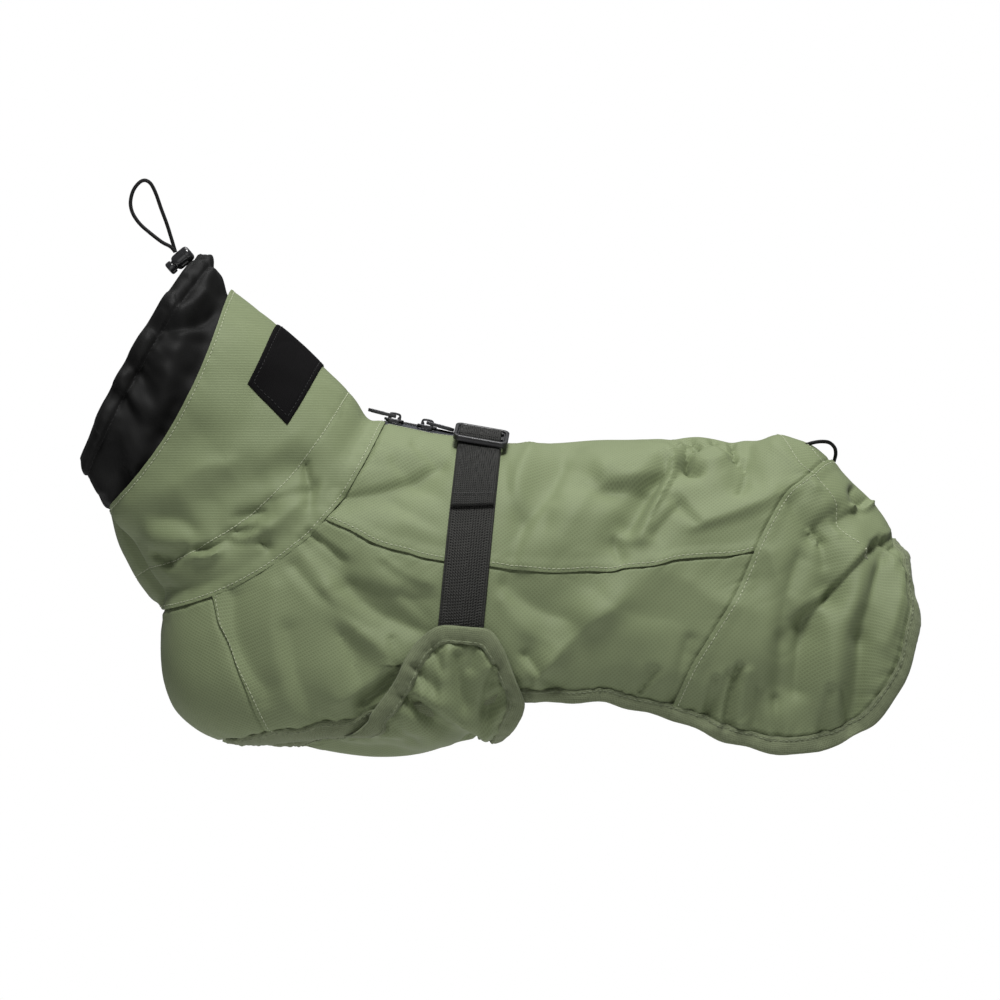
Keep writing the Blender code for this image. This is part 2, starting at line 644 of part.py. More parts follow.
def chest_panel():
    """Front of the chest, from one chest seam round to the other."""
    front = path([(COLLAR_SEAM, math.pi), (FRONT_HEM, math.pi)])
    middle_seam = path([front_places[0], (FRONT_HEM, math.pi)])
    bottom = join(hem_part(0)[::-1], spread(middle_seam, FRONT_CELLS))
    s, phi = patch(spread(collar_front, len(bottom) - 1), bottom,
                   spread(chest_seam, SIDE_ROWS[1]), spread(front, SIDE_ROWS[1]))
    s, phi = mirrored(s.T, phi.T, math.pi)
    cloth("chest_panel", s, phi, 0, CLOTH, "sage_cloth")


def rear_panel():
    """Rump piece in one with its left and right sides."""
    seam = join(np.array([(TAIL_SEAM, 0.0), tail_seam[0]]), spread(tail_seam, BACK_ROWS),
                spread(rear_seam_low, sum(SIDE_ROWS)))
    spine = path([(TAIL_SEAM, 0.0), rear_places[-1]])
    s, phi = patch(spread(spine, HEM_CELLS[2]), hem_part(2), seam, hem_part(3)[::-1])
    s, phi = mirrored(s[::-1], phi[::-1], 0.0)
    cloth("rear_panel", s, phi, 0, CLOTH, "sage_cloth")


def binding(name, inner, outer, side, lift):
    """Folded tape over a cut edge, a little proud of the cloth on both faces."""
    share = np.linspace(0, 1, 3)[:, None, None]
    grid = inner[None] * (1 - share) + outer[None] * share
    s, phi = grid[..., 0], grid[..., 1]
    height = lift(s, phi) if lift else np.zeros_like(s)
    cloth(name, s, side * phi, height - BINDING_PROUD, height + CLOTH + BINDING_PROUD,
          "sage_binding", (SEAM_SHARE, 0, SEAM_SHARE, SEAM_SHARE))


def hem_bindings():
    inner = join(*(hem_part(number) for number in range(4)))
    outer = join(*(hem_part(number, hem_outer) for number in range(4)))
    binding("hem_binding_left", inner, outer, 1, None)
    binding("hem_binding_right", inner, outer, -1, None)


def belly_lift(s, phi):
    """Height of the belly panel: it rises along its strip and is raised all over its wings."""
    strip = smooth((s - LIFT_START) / LIFT_RUN)
    wing = smooth((math.pi - np.abs(phi) - WING_START) / WING_RUN)
    return BELLY_LIFT * (1 - (1 - strip) * (1 - wing))


def belly_edge(front, side, rear):
    """Line of the belly panel's edge: along the strip, up round the wing and under the body."""
    return path([under_place(*row) for row in front] + side_path(side)
                + [under_place(*row) for row in rear])


belly_outer = belly_edge([(s, out) for s, out, _ in BELLY_FRONT],
                         [row[:2] for row in BELLY_SIDE], [row[:2] for row in BELLY_REAR])
belly_inner = belly_edge([(s, into) for s, _, into in BELLY_FRONT],
                         [row[2:] for row in BELLY_SIDE], [row[2:] for row in BELLY_REAR])
BELLY_STOPS = (0, len(BELLY_FRONT) + WING_CORNER_ROW,
               len(BELLY_FRONT) + len(BELLY_SIDE) + len(BELLY_REAR) - 1)
BELLY_CELLS = tuple(cells(rows_of(belly_inner, *BELLY_STOPS[k:k + 2]), BELLY_GRID)
                    for k in (0, 1))


def belly_part(number, twin=None):
    first, last = BELLY_STOPS[number:number + 2]
    twin = twin if twin is None else rows_of(twin, first, last)
    return spread(rows_of(belly_inner, first, last), BELLY_CELLS[number], twin)


def belly_panel():
    """Panel from the chest back between the front legs, with a wing up each side."""
    middle = path([(FRONT_HEM, math.pi), tuple(belly_inner[-1])])
    front = path([(FRONT_HEM, math.pi), tuple(belly_inner[0])])
    s, phi = patch(spread(middle, BELLY_CELLS[0]), belly_part(0),
                   spread(front, BELLY_CELLS[1]), belly_part(1)[::-1])
    s, phi = mirrored(s[::-1], phi[::-1], math.pi)
    low = belly_lift(s, math.pi - np.abs(math.pi - phi))
    cloth("belly_panel", s, phi, low, low + CLOTH, "sage_cloth")


def belly_bindings():
    inner = join(belly_part(0), belly_part(1))
    outer = join(belly_part(0, belly_outer), belly_part(1, belly_outer))
    binding("belly_binding_left", inner, outer, 1, belly_lift)
    binding("belly_binding_right", inner, outer, -1, belly_lift)


# ---------------------------------------------------------------- strap

def strap_place(angle, across):
    """Section where the line beside the strap's middle crosses an angle."""
    low, high = np.zeros_like(angle), np.full_like(angle, float(LAST))
    for _ in range(40):
        s = (low + high) / 2
        point = base_point(s, angle)
        ahead = point[..., 0] < strap_line(point[..., 2]) + across
        low, high = np.where(ahead, s, low), np.where(ahead, high, s)
    return s


STRAP_ANGLES = np.linspace(0, 2.2, 400)
_strap_middle = base_point(strap_place(STRAP_ANGLES, 0.0), STRAP_ANGLES)
STRAP_LENGTHS = np.concatenate(
    ([0], np.cumsum(np.linalg.norm(np.diff(_strap_middle, axis=0), axis=1))))


def strap_angle(distance):
    """Angle at a distance from the spine along the strap."""
    return np.interp(distance, STRAP_LENGTHS, STRAP_ANGLES)


def strap_strip(name, distances, low, high, side, half_width, colour):
    """Webbing along the strap's line, between two heights given for each distance."""
    across = np.linspace(-half_width, half_width, 4)
    angle, aside = np.meshgrid(strap_angle(distances), across, indexing='ij')
    s = strap_place(angle, aside)
    low, high = np.asarray(low, float)[:, None], np.asarray(high, float)[:, None]
    outer = cloth_point(s, side * angle, high)
    inner = cloth_point(s, side * angle, low)
    return wall(name, outer, inner, colour)


BUCKLE_MIDDLE = 16.0     # distance of the buckle's bar from the spine
BUCKLE_LIFT = 5.4        # from the master surface to the buckle's underside
BUCKLE_WALL = 2.4
BUCKLE_LENGTH = 22.0
BUCKLE_WIDTH = 29.4
WINDOW_WIDTH = 25.2
BAR = 4.0
END_BAR = 3.5
WING_TOP = 131.0         # distance from the spine to where the strap goes under the wing
STRAP_TUCK = 9.0
TAIL_END = 64.0
TAIL_HEM = 8.0


def straps():
    stations = np.linspace(0.25, WING_TOP + STRAP_TUCK, 20)
    low = np.full_like(stations, STRAP_LIFT)
    for name, side in (("strap_left", 1), ("strap_right", -1)):
        strap_strip(name, stations, low, low + STRAP_WALL, side, STRAP_WIDTH / 2,
                    "black_webbing")


def strap_tail():
    """Free end of the webbing: over the buckle's bar, then down over the strap to a folded hem."""
    rest = STRAP_LIFT + STRAP_WALL + 0.35
    over = BUCKLE_LIFT + BUCKLE_WALL + 0.35
    near, far = BAR / 2 + 0.4, BAR / 2 + 4.2
    # distance from the spine, underside height, wall
    rows = [(BUCKLE_MIDDLE - far - 0.8, rest, STRAP_WALL), (BUCKLE_MIDDLE - far, rest, STRAP_WALL),
            (BUCKLE_MIDDLE - near, over, STRAP_WALL), (BUCKLE_MIDDLE, over + 0.1, STRAP_WALL),
            (BUCKLE_MIDDLE + near, over, STRAP_WALL), (BUCKLE_MIDDLE + far, rest, STRAP_WALL)]
    start, end = BUCKLE_MIDDLE + far, TAIL_END - TAIL_HEM
    rows += [(d, rest, STRAP_WALL) for d in np.linspace(start, end, 7)[1:]]
    rows += [(end + 0.6, rest, 2.1 * STRAP_WALL), (TAIL_END - 3, rest, 2.1 * STRAP_WALL),
             (TAIL_END, rest, 2.0 * STRAP_WALL)]
    rows = np.array(rows)
    strap_strip("strap_tail", rows[:, 0], rows[:, 1], rows[:, 1] + rows[:, 2], 1,
                STRAP_WIDTH / 2 - 0.6, "black_webbing")


def frame_at(s, phi, height, turn=0.0):
    """Local frame on the cloth: x towards the tail, y round the body, z out of the cloth."""
    s, phi = np.float64(s), np.float64(phi)
    origin = cloth_point(s, phi, height)
    out = base_normal(s, phi)
    along = base_point(s + 0.05, phi) - base_point(s - 0.05, phi)
    along = along - out * along.dot(out)
    along = along / np.linalg.norm(along)
    across = np.cross(out, along)
    tilted = along * math.cos(turn) + across * math.sin(turn)
    across = np.cross(out, tilted)

    def place(local):
        x, y, z = local
        return origin + tilted * x + across * y + out * z
    return place


def buckle():
    """Tri-glide: a flat frame with two windows and a bar between them."""
    angle = strap_angle(BUCKLE_MIDDLE)
    s = strap_place(np.array(angle), 0.0)
    half, window, edge = BUCKLE_LENGTH / 2, WINDOW_WIDTH / 2, BUCKLE_WIDTH / 2
    xs = (-edge, -window, window, edge)
    ys = (-half, -half + END_BAR, -BAR / 2, BAR / 2, half - END_BAR, half)
    zs = (0, BUCKLE_WALL)

    def solid(i, j, k):
        return not (i == 1 and j in (1, 3))
    blocks("buckle", xs, ys, zs, solid, frame_at(s, angle, BUCKLE_LIFT), "black_plastic", 0.7)


# ---------------------------------------------------------------- zip

SLIDER_PLACES = {"front": -47.3, "rear": -29.6}     # x of each slider
SLIDER_LENGTH = 10.5
SLIDER_WIDTH = 8.4
SLIDER_LIFT = 2.25
SLIDER_BODY = 2.5
BAIL_LENGTH = 7.0
BAIL_WIDTH = 3.0
BAIL_WALL = 1.1
BAIL_ROOM = 2.4
PULL_WALL = 1.3
PULL_LENGTH = 15.0
PULL_WIDTH = 6.6
PULL_ARM = 1.0
PULL_WINDOW = 4.7
PULL_LEAN = {"front": math.radians(3), "rear": math.radians(-4)}
AXIS_HEIGHT = SLIDER_LIFT + SLIDER_BODY + 1.4


def spine_section(x):
    low, high = 0.0, float(LAST)
    for _ in range(40):
        s = (low + high) / 2
        if cubic(SECTIONS, s)[0] < x:
            low = s
        else:
            high = s
    return s


def zip_tape():
    """Closed zip: two tapes and the chain between them, as one strip on the spine."""
    profile = ((-ZIP_HALF_TAPE, 0), (0, 0), (ZIP_HALF_TAPE, 0), (ZIP_HALF_TAPE, 1.0),
               (CHAIN_HALF, 1.0), (CHAIN_HALF - 0.5, 1.9), (0.5 - CHAIN_HALF, 1.9),
               (-CHAIN_HALF, 1.0), (-ZIP_HALF_TAPE, 1.0))
    rings = []
    for s in np.linspace(COLLAR_SEAM + 0.06, ZIP_END - 0.06, 13):
        places = [top_place(s, abs(w)) for w, _ in profile]
        angles = [math.copysign(a, w) for (_, a), (w, _) in zip(places, profile)]
        heights = [h for _, h in profile]
        rings.append(cloth_point(np.full(len(profile), s), np.array(angles), np.array(heights)))
    loft("zip_tape", rings, "black_cloth")


def zip_slider(end):
    """Slider body on the chain with a bail on top for its pull tab."""
    half, bail, leg = SLIDER_LENGTH / 2, BAIL_LENGTH / 2, BAIL_WALL
    body, room = SLIDER_BODY, SLIDER_BODY + BAIL_ROOM
    xs = (-half, -bail, -bail + leg, bail - leg, bail, half)
    ys = (-SLIDER_WIDTH / 2, -BAIL_WIDTH / 2, BAIL_WIDTH / 2, SLIDER_WIDTH / 2)
    zs = (0, body, room, room + BAIL_WALL)

    def solid(i, j, k):
        if k == 0:
            return True
        in_bail = j == 1 and 1 <= i <= 3
        return in_bail and (k == 2 or i in (1, 3))
    frame = frame_at(spine_section(SLIDER_PLACES[end]), 0.0, SLIDER_LIFT)
    blocks("zip_slider_" + end, xs, ys, zs, solid, frame, "dark_metal", 0.25)


def zip_pull(end):
    """Flat pull tab whose end bar lies in the bail; its origin is on the hinge axis."""
    heading = -1 if end == "front" else 1
    lean = PULL_LEAN[end]
    base = frame_at(spine_section(SLIDER_PLACES[end]), 0.0, AXIS_HEIGHT)
    xs = (-0.6, 0.6, PULL_WINDOW, PULL_LENGTH)
    ys = (-PULL_WIDTH / 2, -PULL_WIDTH / 2 + PULL_ARM, PULL_WIDTH / 2 - PULL_ARM, PULL_WIDTH / 2)
    zs = (-PULL_WALL / 2, PULL_WALL / 2)

    def solid(i, j, k):
        return not (i == 1 and j == 1)

    def frame(local):
        x, y, z = local
        return base((heading * (x * math.cos(lean) - z * math.sin(lean)), heading * y,
                     x * math.sin(lean) + z * math.cos(lean)))
    made = blocks("zip_pull_" + end, xs, ys, zs, solid, frame, "dark_metal", 0.2)
    pivot = base((0, 0, 0)) * MM
    for vertex in made.data.vertices:
        vertex.co = [c - p for c, p in zip(vertex.co, pivot)]
    made.location = pivot


# ---------------------------------------------------------------- cord lock and cords

LOCK_MIDDLE = (-161.1, -10.8, 99.6)
LOCK_DIRECTION = (-0.76, 0.0, -0.65)
# distance along the lock, radius
LOCK_PROFILE = ((-6.6, 2.6), (-6.2, 3.7), (-5.0, 4.4), (1.5, 4.4), (3.6, 4.1), (4.4, 3.2),
                (4.6, 2.9), (5.4, 2.9), (5.8, 3.6), (8.4, 3.6), (9.0, 2.8))


def cord_lock():
    """Spring lock turned about its axis: body, neck and push button."""
    axis = np.array(LOCK_DIRECTION) / np.linalg.norm(LOCK_DIRECTION)
    aside = np.array((0.0, 1.0, 0.0))
    third = np.cross(axis, aside)
    angles = np.linspace(0, 2 * math.pi, 16, endpoint=False)
    rings = [np.array(LOCK_MIDDLE) + axis * along
             + radius * (np.cos(angles)[:, None] * aside + np.sin(angles)[:, None] * third)
             for along, radius in LOCK_PROFILE]
    loft("cord_lock", rings, "black_plastic")


def build():
    clear_scene()
    collar()
    collar_label()
    snood()
    back_panel()
    side_panel("side_panel_left", 1)
    side_panel("side_panel_right", -1)
    chest_panel()
    rear_panel()
    hem_bindings()
    belly_panel()
    belly_bindings()
    straps()
    strap_tail()
    buckle()
    zip_tape()
    for end in SLIDER_PLACES:
        zip_slider(end)
        zip_pull(end)
    cord_lock()
    cord("snood_cord", SNOOD_CORD_ROUTE, CORD_DIAMETER, "black_cord")
    cord("tail_loop", TAIL_LOOP_ROUTE, CORD_DIAMETER, "black_cord")


build()
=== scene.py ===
"""Dressed dog shell jacket: thin cloth shells, bindings, webbing, zip, cords and stitching.

The cloth follows one master surface, a fan of closed sections from the collar's rim to the rump.
A place on it has two coordinates, the section number s (0 at the rim, 19 at the rump) and the
angle phi around the section (0 on the spine, positive on the left side, pi underneath).
Lengths are millimetres until a mesh is made.
"""

import math

import bpy
import numpy as np
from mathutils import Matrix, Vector
from mathutils.kdtree import KDTree

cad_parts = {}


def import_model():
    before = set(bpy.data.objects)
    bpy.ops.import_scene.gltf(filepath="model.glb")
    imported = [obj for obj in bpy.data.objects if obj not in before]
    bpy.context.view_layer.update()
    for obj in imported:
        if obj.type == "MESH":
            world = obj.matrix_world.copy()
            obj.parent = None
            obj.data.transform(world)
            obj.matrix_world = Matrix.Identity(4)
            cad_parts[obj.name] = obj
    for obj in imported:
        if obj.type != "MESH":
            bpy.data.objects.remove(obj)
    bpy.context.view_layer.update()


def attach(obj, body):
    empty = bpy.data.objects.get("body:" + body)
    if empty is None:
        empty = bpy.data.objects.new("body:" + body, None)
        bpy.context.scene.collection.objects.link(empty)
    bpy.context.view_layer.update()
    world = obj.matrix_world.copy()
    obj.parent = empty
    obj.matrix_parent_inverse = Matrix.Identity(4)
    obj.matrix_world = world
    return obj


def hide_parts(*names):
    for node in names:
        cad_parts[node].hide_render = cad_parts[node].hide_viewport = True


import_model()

MM = 0.001

# ---------------------------------------------------------------- sizes

CLOTH = 1.6              # height of the cloth's outer face over the master surface
SHELL = 0.9              # thickness of the shown cloth
GRID = 1.6         # spacing of a panel's points
EDGE_GRID = 0.8    # the finer step beside a piece's borders
OVER = 0.5               # how far a lapping piece reaches past its seam
UNDER = 2.4              # how far the piece below reaches under it
WELT = 0.85              # how high a lapping edge stands
LOWER_SQUARE = 3.4       # power of a section's lower half, where 2 would be an ellipse
BELLY_LIFT = 4.6         # height of the belly panel over the other panels
LIFT_START, LIFT_RUN = 8.0, 0.75     # sections over which its strip rises
WING_START, WING_RUN = 0.58, 0.2     # angles from underneath over which its wings rise
EDGE_CURL = 6.5          # how far the strip between the legs curls in at its edges
STRAP_WIDTH = 24.0
STRAP_WALL = 1.4
STRAP_LIFT = 2.2         # of its underside over the cloth's inner face
STRAP_PRESS = 23.0       # half width of the band where the strap flattens the large folds
STRAP_TIGHT = 17.0       # the same for the small ones
ZIP_NOTCH = 6.6          # half width of the slot for the zip
SAMPLES = 16             # places between two rows of a seam's table
AMBIENT = 0.17           # strength of the background's soft light

# Sections of the master surface, from the collar's rim to the rump.
# top_x, top_z, bottom_x, bottom_z, half_width, sag
SECTIONS = np.array((
    (-136, 82, -198, -35, 47.0, 10.5),
    (-104, 57, -193.5, -52, 50.0, 14),
    (-72, 27, -184, -70, 54.0, 17),
    (-62, 13, -178, -79, 56.0, 18.5),
    (-52, 10, -171, -89, 58.0, 21.5),
    (-37, 7, -170.5, -115, 61.5, 19),
    (-22, 4, -162.5, -143, 64.0, 16),
    (-7, 2, -138, -159, 65.5, 12),
    (12, -1, -98, -161.5, 66.0, 8),
    (34, -1, -42, -162.5, 66.0, 4),
    (57, 0, 3, -153.5, 65.0, 1),
    (80, 0, 46, -163, 63.5, 0),
    (104, 1, 91, -174, 61.5, 0),
    (128, 1, 132, -185, 59.0, 0),
    (151, 2, 166, -193, 56.0, 0),
    (171, 0, 193, -196, 52.5, 0),
    (191, -12, 216, -198, 48.5, 0),
    (207, -32, 236, -196, 44.0, 0),
    (218, -43, 246, -195, 41.5, 0),
    (227.5, -59, 253.5, -193, 38.0, 0),
), dtype=float)
LAST = len(SECTIONS) - 1
COLLAR_SEAM = 4.0
COLLAR_LINE = 2.0
FRONT_HEM = 7.0
ZIP_END = 8.93
TAIL_SEAM = 15.92
TAIL_SEAM_START = math.radians(7)

# Largest folds on the side view; the right side has them shifted and scaled.
# start_x, start_z, end_x, end_z, bow, start_width, end_width, depth, right_side_scale
FOLDS = (
    (-94, -13, -140, -30, 4, 9, 12, 3.2, 0.8),
    (-113, -36, -133, -52, 0, 6, 7, 2.8, 1.0),
    (-142, -56, -178, -50, 0, 8, 8, -2.4, 0.9),
    (-51, -4, -12, -6, 0, 7, 7, -1.6, 0.7),
    (-10, -11, -70, -30, -5, 8, 9, 2.6, 0.9),
    (-84, -52, -25, -104, 5, 8, 12, 3.8, 1.1),
    (-46, -63, -20, -84, 0, 6, 7, 2.2, 0.8),
    (-71, -99, -46, -131, 0, 12, 9, 2.6, 0.9),
    (50, -6, 18, -67, 7, 9, 10, 3.6, 0.9),
    (70, -25, 53, -22, 0, 7, 8, 2.4, 1.1),
    (58, -19, 112, -5, -3, 7, 7, -2.0, 0.8),
    (108, -11, 70, -54, 5, 6, 7, 3.2, 0.9),
    (113, -3, 113, -15, 0, 6, 6, 3.4, 1.0),
    (140, -3, 140, -22, 0, 6, 7, 3.6, 1.0),
    (116, -43, 141, -36, 0, 8, 8, -2.0, 0.8),
    (27, -124, 92, -66, -4, 8, 12, -4.2, 0.9),
    (29, -108, 47, -100, 0, 8, 8, 2.4, 0.8),
    (44, -105, 106, -104, 0, 12, 12, 1.8, 1.0),
    (168, -34, 183, -74, -4, 7, 8, 2.2, 0.8),
    (187, -78, 162, -128, 4, 8, 10, 4.4, 0.9),
    (205, -64, 188, -140, 4, 9, 11, -3.4, 1.0),
    (213, -60, 199, -150, 3, 7, 8, 4.2, 0.9),
    (204, -38, 177, -48, 0, 9, 9, 2.0, 1.0),
    (129, -125, 124, -147, 0, 7, 8, -2.4, 0.9),
)
# Creases between the large folds: the same columns, then the steepness of one wall.
CREASES = (
    # collar: soft hollows, then tucks and creases at its stitched line
    (-150, 4, -163, -30, 4, 12, 15, 1.6, 0.9, 0.0),
    (-118, 26, -136, -4, -3, 13, 15, 1.3, 1.1, 0.0),
    (-134, -12, -158, -22, 3, 6, 10, -1.6, 0.9, 0.4),
    (-100, 2, -112, -8, 0, 8, 9, -1.2, 1.0, 0.0),
    (-119, -52, -95, -32, 0, 6, 7, -1.8, 0.8, 0.4),
    (-152, -46, -170, -40, 2, 5, 7, 1.6, 1.2, 0.0),
    (-129, -47, -119, -45, 1.2, 2.0, 2.2, 1.5, 0.9, 0.2),
    (-129, -51, -118, -49, 1.4, 2.4, 2.4, -1.2, 0.9, 0),
    (-149, -57, -138, -54, 1.2, 2.0, 2.2, 1.5, 0.9, 0.2),
    (-148, -61, -137, -58, 1.2, 2.4, 2.4, -1.2, 0.9, 0),
    (-91, -11, -90, -19, 0, 1.6, 2.2, 1.6, 0.8, -0.4),
    (-87, -23, -90, -32, 0.6, 3.5, 4.5, 2, 0.8, -0.5),
    (-90, -25, -109, -31, 0, 3.5, 5, 1.4, 0.8, 0.4),
    (-115, -37, -127, -39, 0, 3, 5, 1.5, 0.9, 0.3),
    (-132, -52, -115, -53, 0.8, 3, 4, 1.2, 0.9, 0.4),
    (-115, -52, -111, -56, 0, 1.6, 2.6, 1.2, 0.9, 0),
    (-111, -45, -120, -43, 0, 4, 4, -1.2, 0.9, 0),
    (-169, -64, -145, -56, -1.5, 5, 4, 1.8, 0.9, 0.6),
    (-157, -56, -160, -62, 0, 3, 4, 1.2, 1, 0),
    (-177, -62, -168, -65, 0, 3, 5, 2, 1.1, 0.5),
    # shoulder and chest
    (-90, -48, -74, -60, -0.6, 2.4, 4.4, 1.5, 0.9, 0.6),
    (-86, -47, -71, -58, 0, 3, 4, -1.4, 0.9, 0),
    (-94, -52, -76, -68, 1, 3, 6, 0.9, 0.9, 0.5),
    (-49, -62, -26, -74, 1.5, 4, 6, -1.3, 0.9, 0.6),
    (-71, -73, -25, -83, 3, 6, 8, 1.4, 0.9, -0.5),
    (-70, -77, -26, -100, 4, 4, 6, 1.8, 0.9, 0.4),
    (-60, -138, -45, -123, 1, 4, 2.6, 2.6, 1, 0.5),
    (-73, -135, -49, -119, 2, 6, 5, -1.4, 1, 0.4),
    (-115, -23, -121, -34, 0, 6, 8, 1, 0.9, 0),
    (-97, -66, -53, -98, 4, 5, 7, 1.6, 0.8, 0.5),
    (-80, -78, -46, -112, 3, 6, 8, -1.8, 1.0, 0.4),
    (-40, -80, -27, -92, 0, 4, 5, 1.0, 1.1, 0.4),
    (-130, -82, -113, -128, 5, 6, 9, 1.8, 0.8, 0.4),
    (-108, -78, -98, -142, 4, 9, 10, -1.4, 1.1, 0.0),
    (-101, -100, -86, -146, 2, 6, 7, 1.5, 0.9, 0.5),
    (-72, -102, -58, -147, -2, 5, 6, 1.4, 1.0, 0.5),
    (-46, -104, -38, -134, 0, 3, 4, 1.4, 1.0, 0.4),
    (-36, -44, 0, -52, 2, 6, 6, -1.2, 0.9, 0.0),
    (-70, -28, -20, -12, 3, 3.4, 4, 1.4, 0.8, -0.6),
    # back, first pinch
    (111, -3, 111, -11, 0, 1.5, 2, 2.8, 0.9, 0.3),
    (111, -11, 116, -16, 1.4, 2, 2.4, 2.2, 0.9, 0.3),
    (109, -9, 91, -40, -1, 1.5, 2, 0.9, 0.9, 0.6),
    (103, -1, 95, 0, 0, 1.4, 1.8, 0.9, 0.9, 0),
    (104, -2, 111, 1, 0, 1.5, 1.6, 1.8, 0.9, 0),
    (114, 1, 117, -3, 1, 1.5, 1.6, 1.8, 0.9, 0),
    (117, -3, 112, -8, 1, 1.5, 1.5, 1.6, 0.9, 0),
    (108, -1, 113, -5, 0, 1.8, 1.8, -1.6, 0.9, 0),
    (67, -21, 104, -10, 3, 4.5, 3.5, -2, 0.9, 0.6),
    (58, -16, 86, -26, 3, 9, 7, 2.2, 0.9, -0.7),
    (100, -12, 81, -45, 0, 3.6, 4.8, 2.7, 0.9, -0.5),
    (103, -14, 85, -49, 0, 3.6, 4.6, -1.6, 0.9, 0),
    (72, -50, 89, -52, 1.2, 3.4, 4, -0.9, 0.9, 0.5),
    (71, -51, 74, -62, 0.5, 2.2, 3, 1.2, 0.9, 0.4),
    (44, -10, 35, -41, 1.5, 6, 8, 1.8, 0.9, -0.4),
    (56, -30, 42, -51, 0, 7, 9, -1.2, 0.9, 0),
    # back, between the pinches
    (114, -45, 155, -30, 1, 4, 6, -1.7, 0.9, 0.6),
    (104, -30, 114, -43, 0, 3.4, 2.6, 1.6, 0.9, -0.4),
    (106, -33, 92, -49, 0, 3, 4, 1.2, 0.9, 0.4),
    (126, -0, 136, -7, -0.6, 1.4, 1.6, 1.9, 0.9, 0.4),
    (136, 1, 137, -6, 0.5, 1.4, 1.5, 2.2, 0.9, 0.4),
    (136, -7, 141, -11, 0, 1.4, 1.8, 1.3, 0.9, 0),
    (142, -7, 138, -27, -1.8, 1.5, 2.2, 1.1, 0.9, 0.5),
    (118, -3, 126, -1, 0.5, 1.5, 1.6, 1.2, 0.9, 0),
    (145, -1, 149, -20, 1, 4, 6, 1.5, 0.9, 0.3),
    (118, -10, 131, -8, 1.5, 3, 3, -1, 0.9, 0),
    # back, in front of the pinches
    (13, -14, 22, -41, 2, 4, 6, 1.4, 0.9, -0.4),
    (27, -5, 17, -30, 1, 4, 7, -1.2, 0.9, 0),
    (-45, -12, -20, -30, 1, 4, 6, 0.9, 0.9, 0.5),
    (-35, -3, -19, -14, 0, 3, 5, 1.2, 0.9, 0.4),
    (-46, -31, -23, -46, 0.5, 4, 6, 0.9, 0.9, -0.4),
    (36, -34, 22, -64, 2, 4, 6, -1.4, 0.9, 0.5),
    # flank
    (33, -120, 70, -86, -3, 5, 9, -2.2, 0.9, 0.4),
    (14, -76, 44, -92, 3, 5, 7, 1.5, 0.9, 0.5),
    (12, -84, 36, -104, 3, 5, 7, -1.3, 0.9, 0),
    (26, -128, 50, -98, -4, 4, 8, 1.3, 0.9, 0.3),
    (85, -132, 92, -121, 0, 2, 3, 1.6, 0.9, 0.3),
    (24, -112, 40, -129, 0, 3, 4, 1.6, 1.0, 0.5),
    (62, -78, 100, -92, 4, 8, 10, 1.4, 1.0, 0.3),
    (112, -74, 140, -86, 3, 8, 9, -1.5, 0.9, 0.0),
    # rear
    (200, -26, 205, -33, 0.5, 2.4, 2.8, 2.6, 0.8, -0.4),
    (200, -34, 209, -35, 0.6, 1.6, 1.8, -1.7, 0.8, 0),
    (202, -36, 192, -41, 0.5, 3, 5, 1.4, 0.8, 0.5),
    (190, -37, 176, -48, 1, 6, 5, 1.6, 0.9, 0.6),
    (176, -46, 180, -52, -0.6, 1.6, 1.6, -1.6, 0.9, 0),
    (180, -47, 182, -52, 0, 1.8, 2, 1.6, 0.9, 0),
    (165, -33, 176, -47, 1, 3.4, 4, 1.0, 0.9, 0.6),
    (182, -52, 183, -63, 0, 2.6, 5, 1.6, 0.9, 0.3),
    (222, -50, 211, -54, -0.8, 3.2, 3.6, 1.8, 0.8, 0.75),
    (211, -54, 185, -82, 0.6, 3.8, 4.6, 2.5, 0.9, 0.8),
    (185, -82, 170, -95, 0, 4.6, 7, 2.3, 0.9, 0.6),
    (213, -58, 206, -84, 1.5, 4, 6, -1.3, 0.9, 0),
    (217, -60, 203, -104, 2, 4.4, 6, 1.8, 0.9, -0.5),
    (203, -104, 200, -143, 0, 5, 6, 1.8, 0.9, -0.4),
    (172, -92, 168, -131, 1, 4, 5, 1.8, 0.9, 0.4),
    (169, -62, 159, -104, 2, 6, 8, 2.2, 0.9, 0.4),
    (159, -104, 157, -136, 0, 5, 6, 1.4, 0.9, 0),
    (180, -83, 186, -136, -2, 6, 8, -1.8, 0.9, 0),
    (226, -63, 215, -105, -2, 4, 6, -1.6, 0.9, 0),
    (217, -52, 222, -56, 0, 1.6, 2, 1.8, 0.9, 0),
    (222, -57, 225, -66, 0, 1.6, 2, 1.2, 0.9, 0),
    (136, -119, 130, -150, 1, 2.4, 3.2, 2.4, 0.9, 0.6),
    (140, -121, 137, -148, 0, 3, 3.6, -1.6, 0.9, 0.3),
    (124, -125, 120, -144, 0, 2.4, 3.2, 1.8, 0.9, 0.3),
    (148, -130, 146, -155, 0, 3, 4, 1.6, 1, 0.3),
    (157, -136, 158, -156, 0, 2.6, 3.4, 1.4, 1, 0),
    (184, -131, 181, -157, 0, 3, 4, 1.8, 1, 0.4),
    (192, -131, 197, -151, 0, 2.6, 3.6, 1.6, 1, 0.3),
    (110, -104, 103, -136, 1, 4, 5, 1.3, 0.9, 0.3),
    (131, -123, 120, -146, 0, 3.4, 4, 1.6, 1.0, 0.4),
    (154, -60, 172, -90, 3, 6, 8, -1.6, 1.0, 0.3),
    (158, -3, 178, -25, -2, 3, 3.4, -0.9, 0.9, 0.0),
    (178, -25, 190, -48, -1, 3.4, 3.4, -0.9, 0.9, 0.0),
)
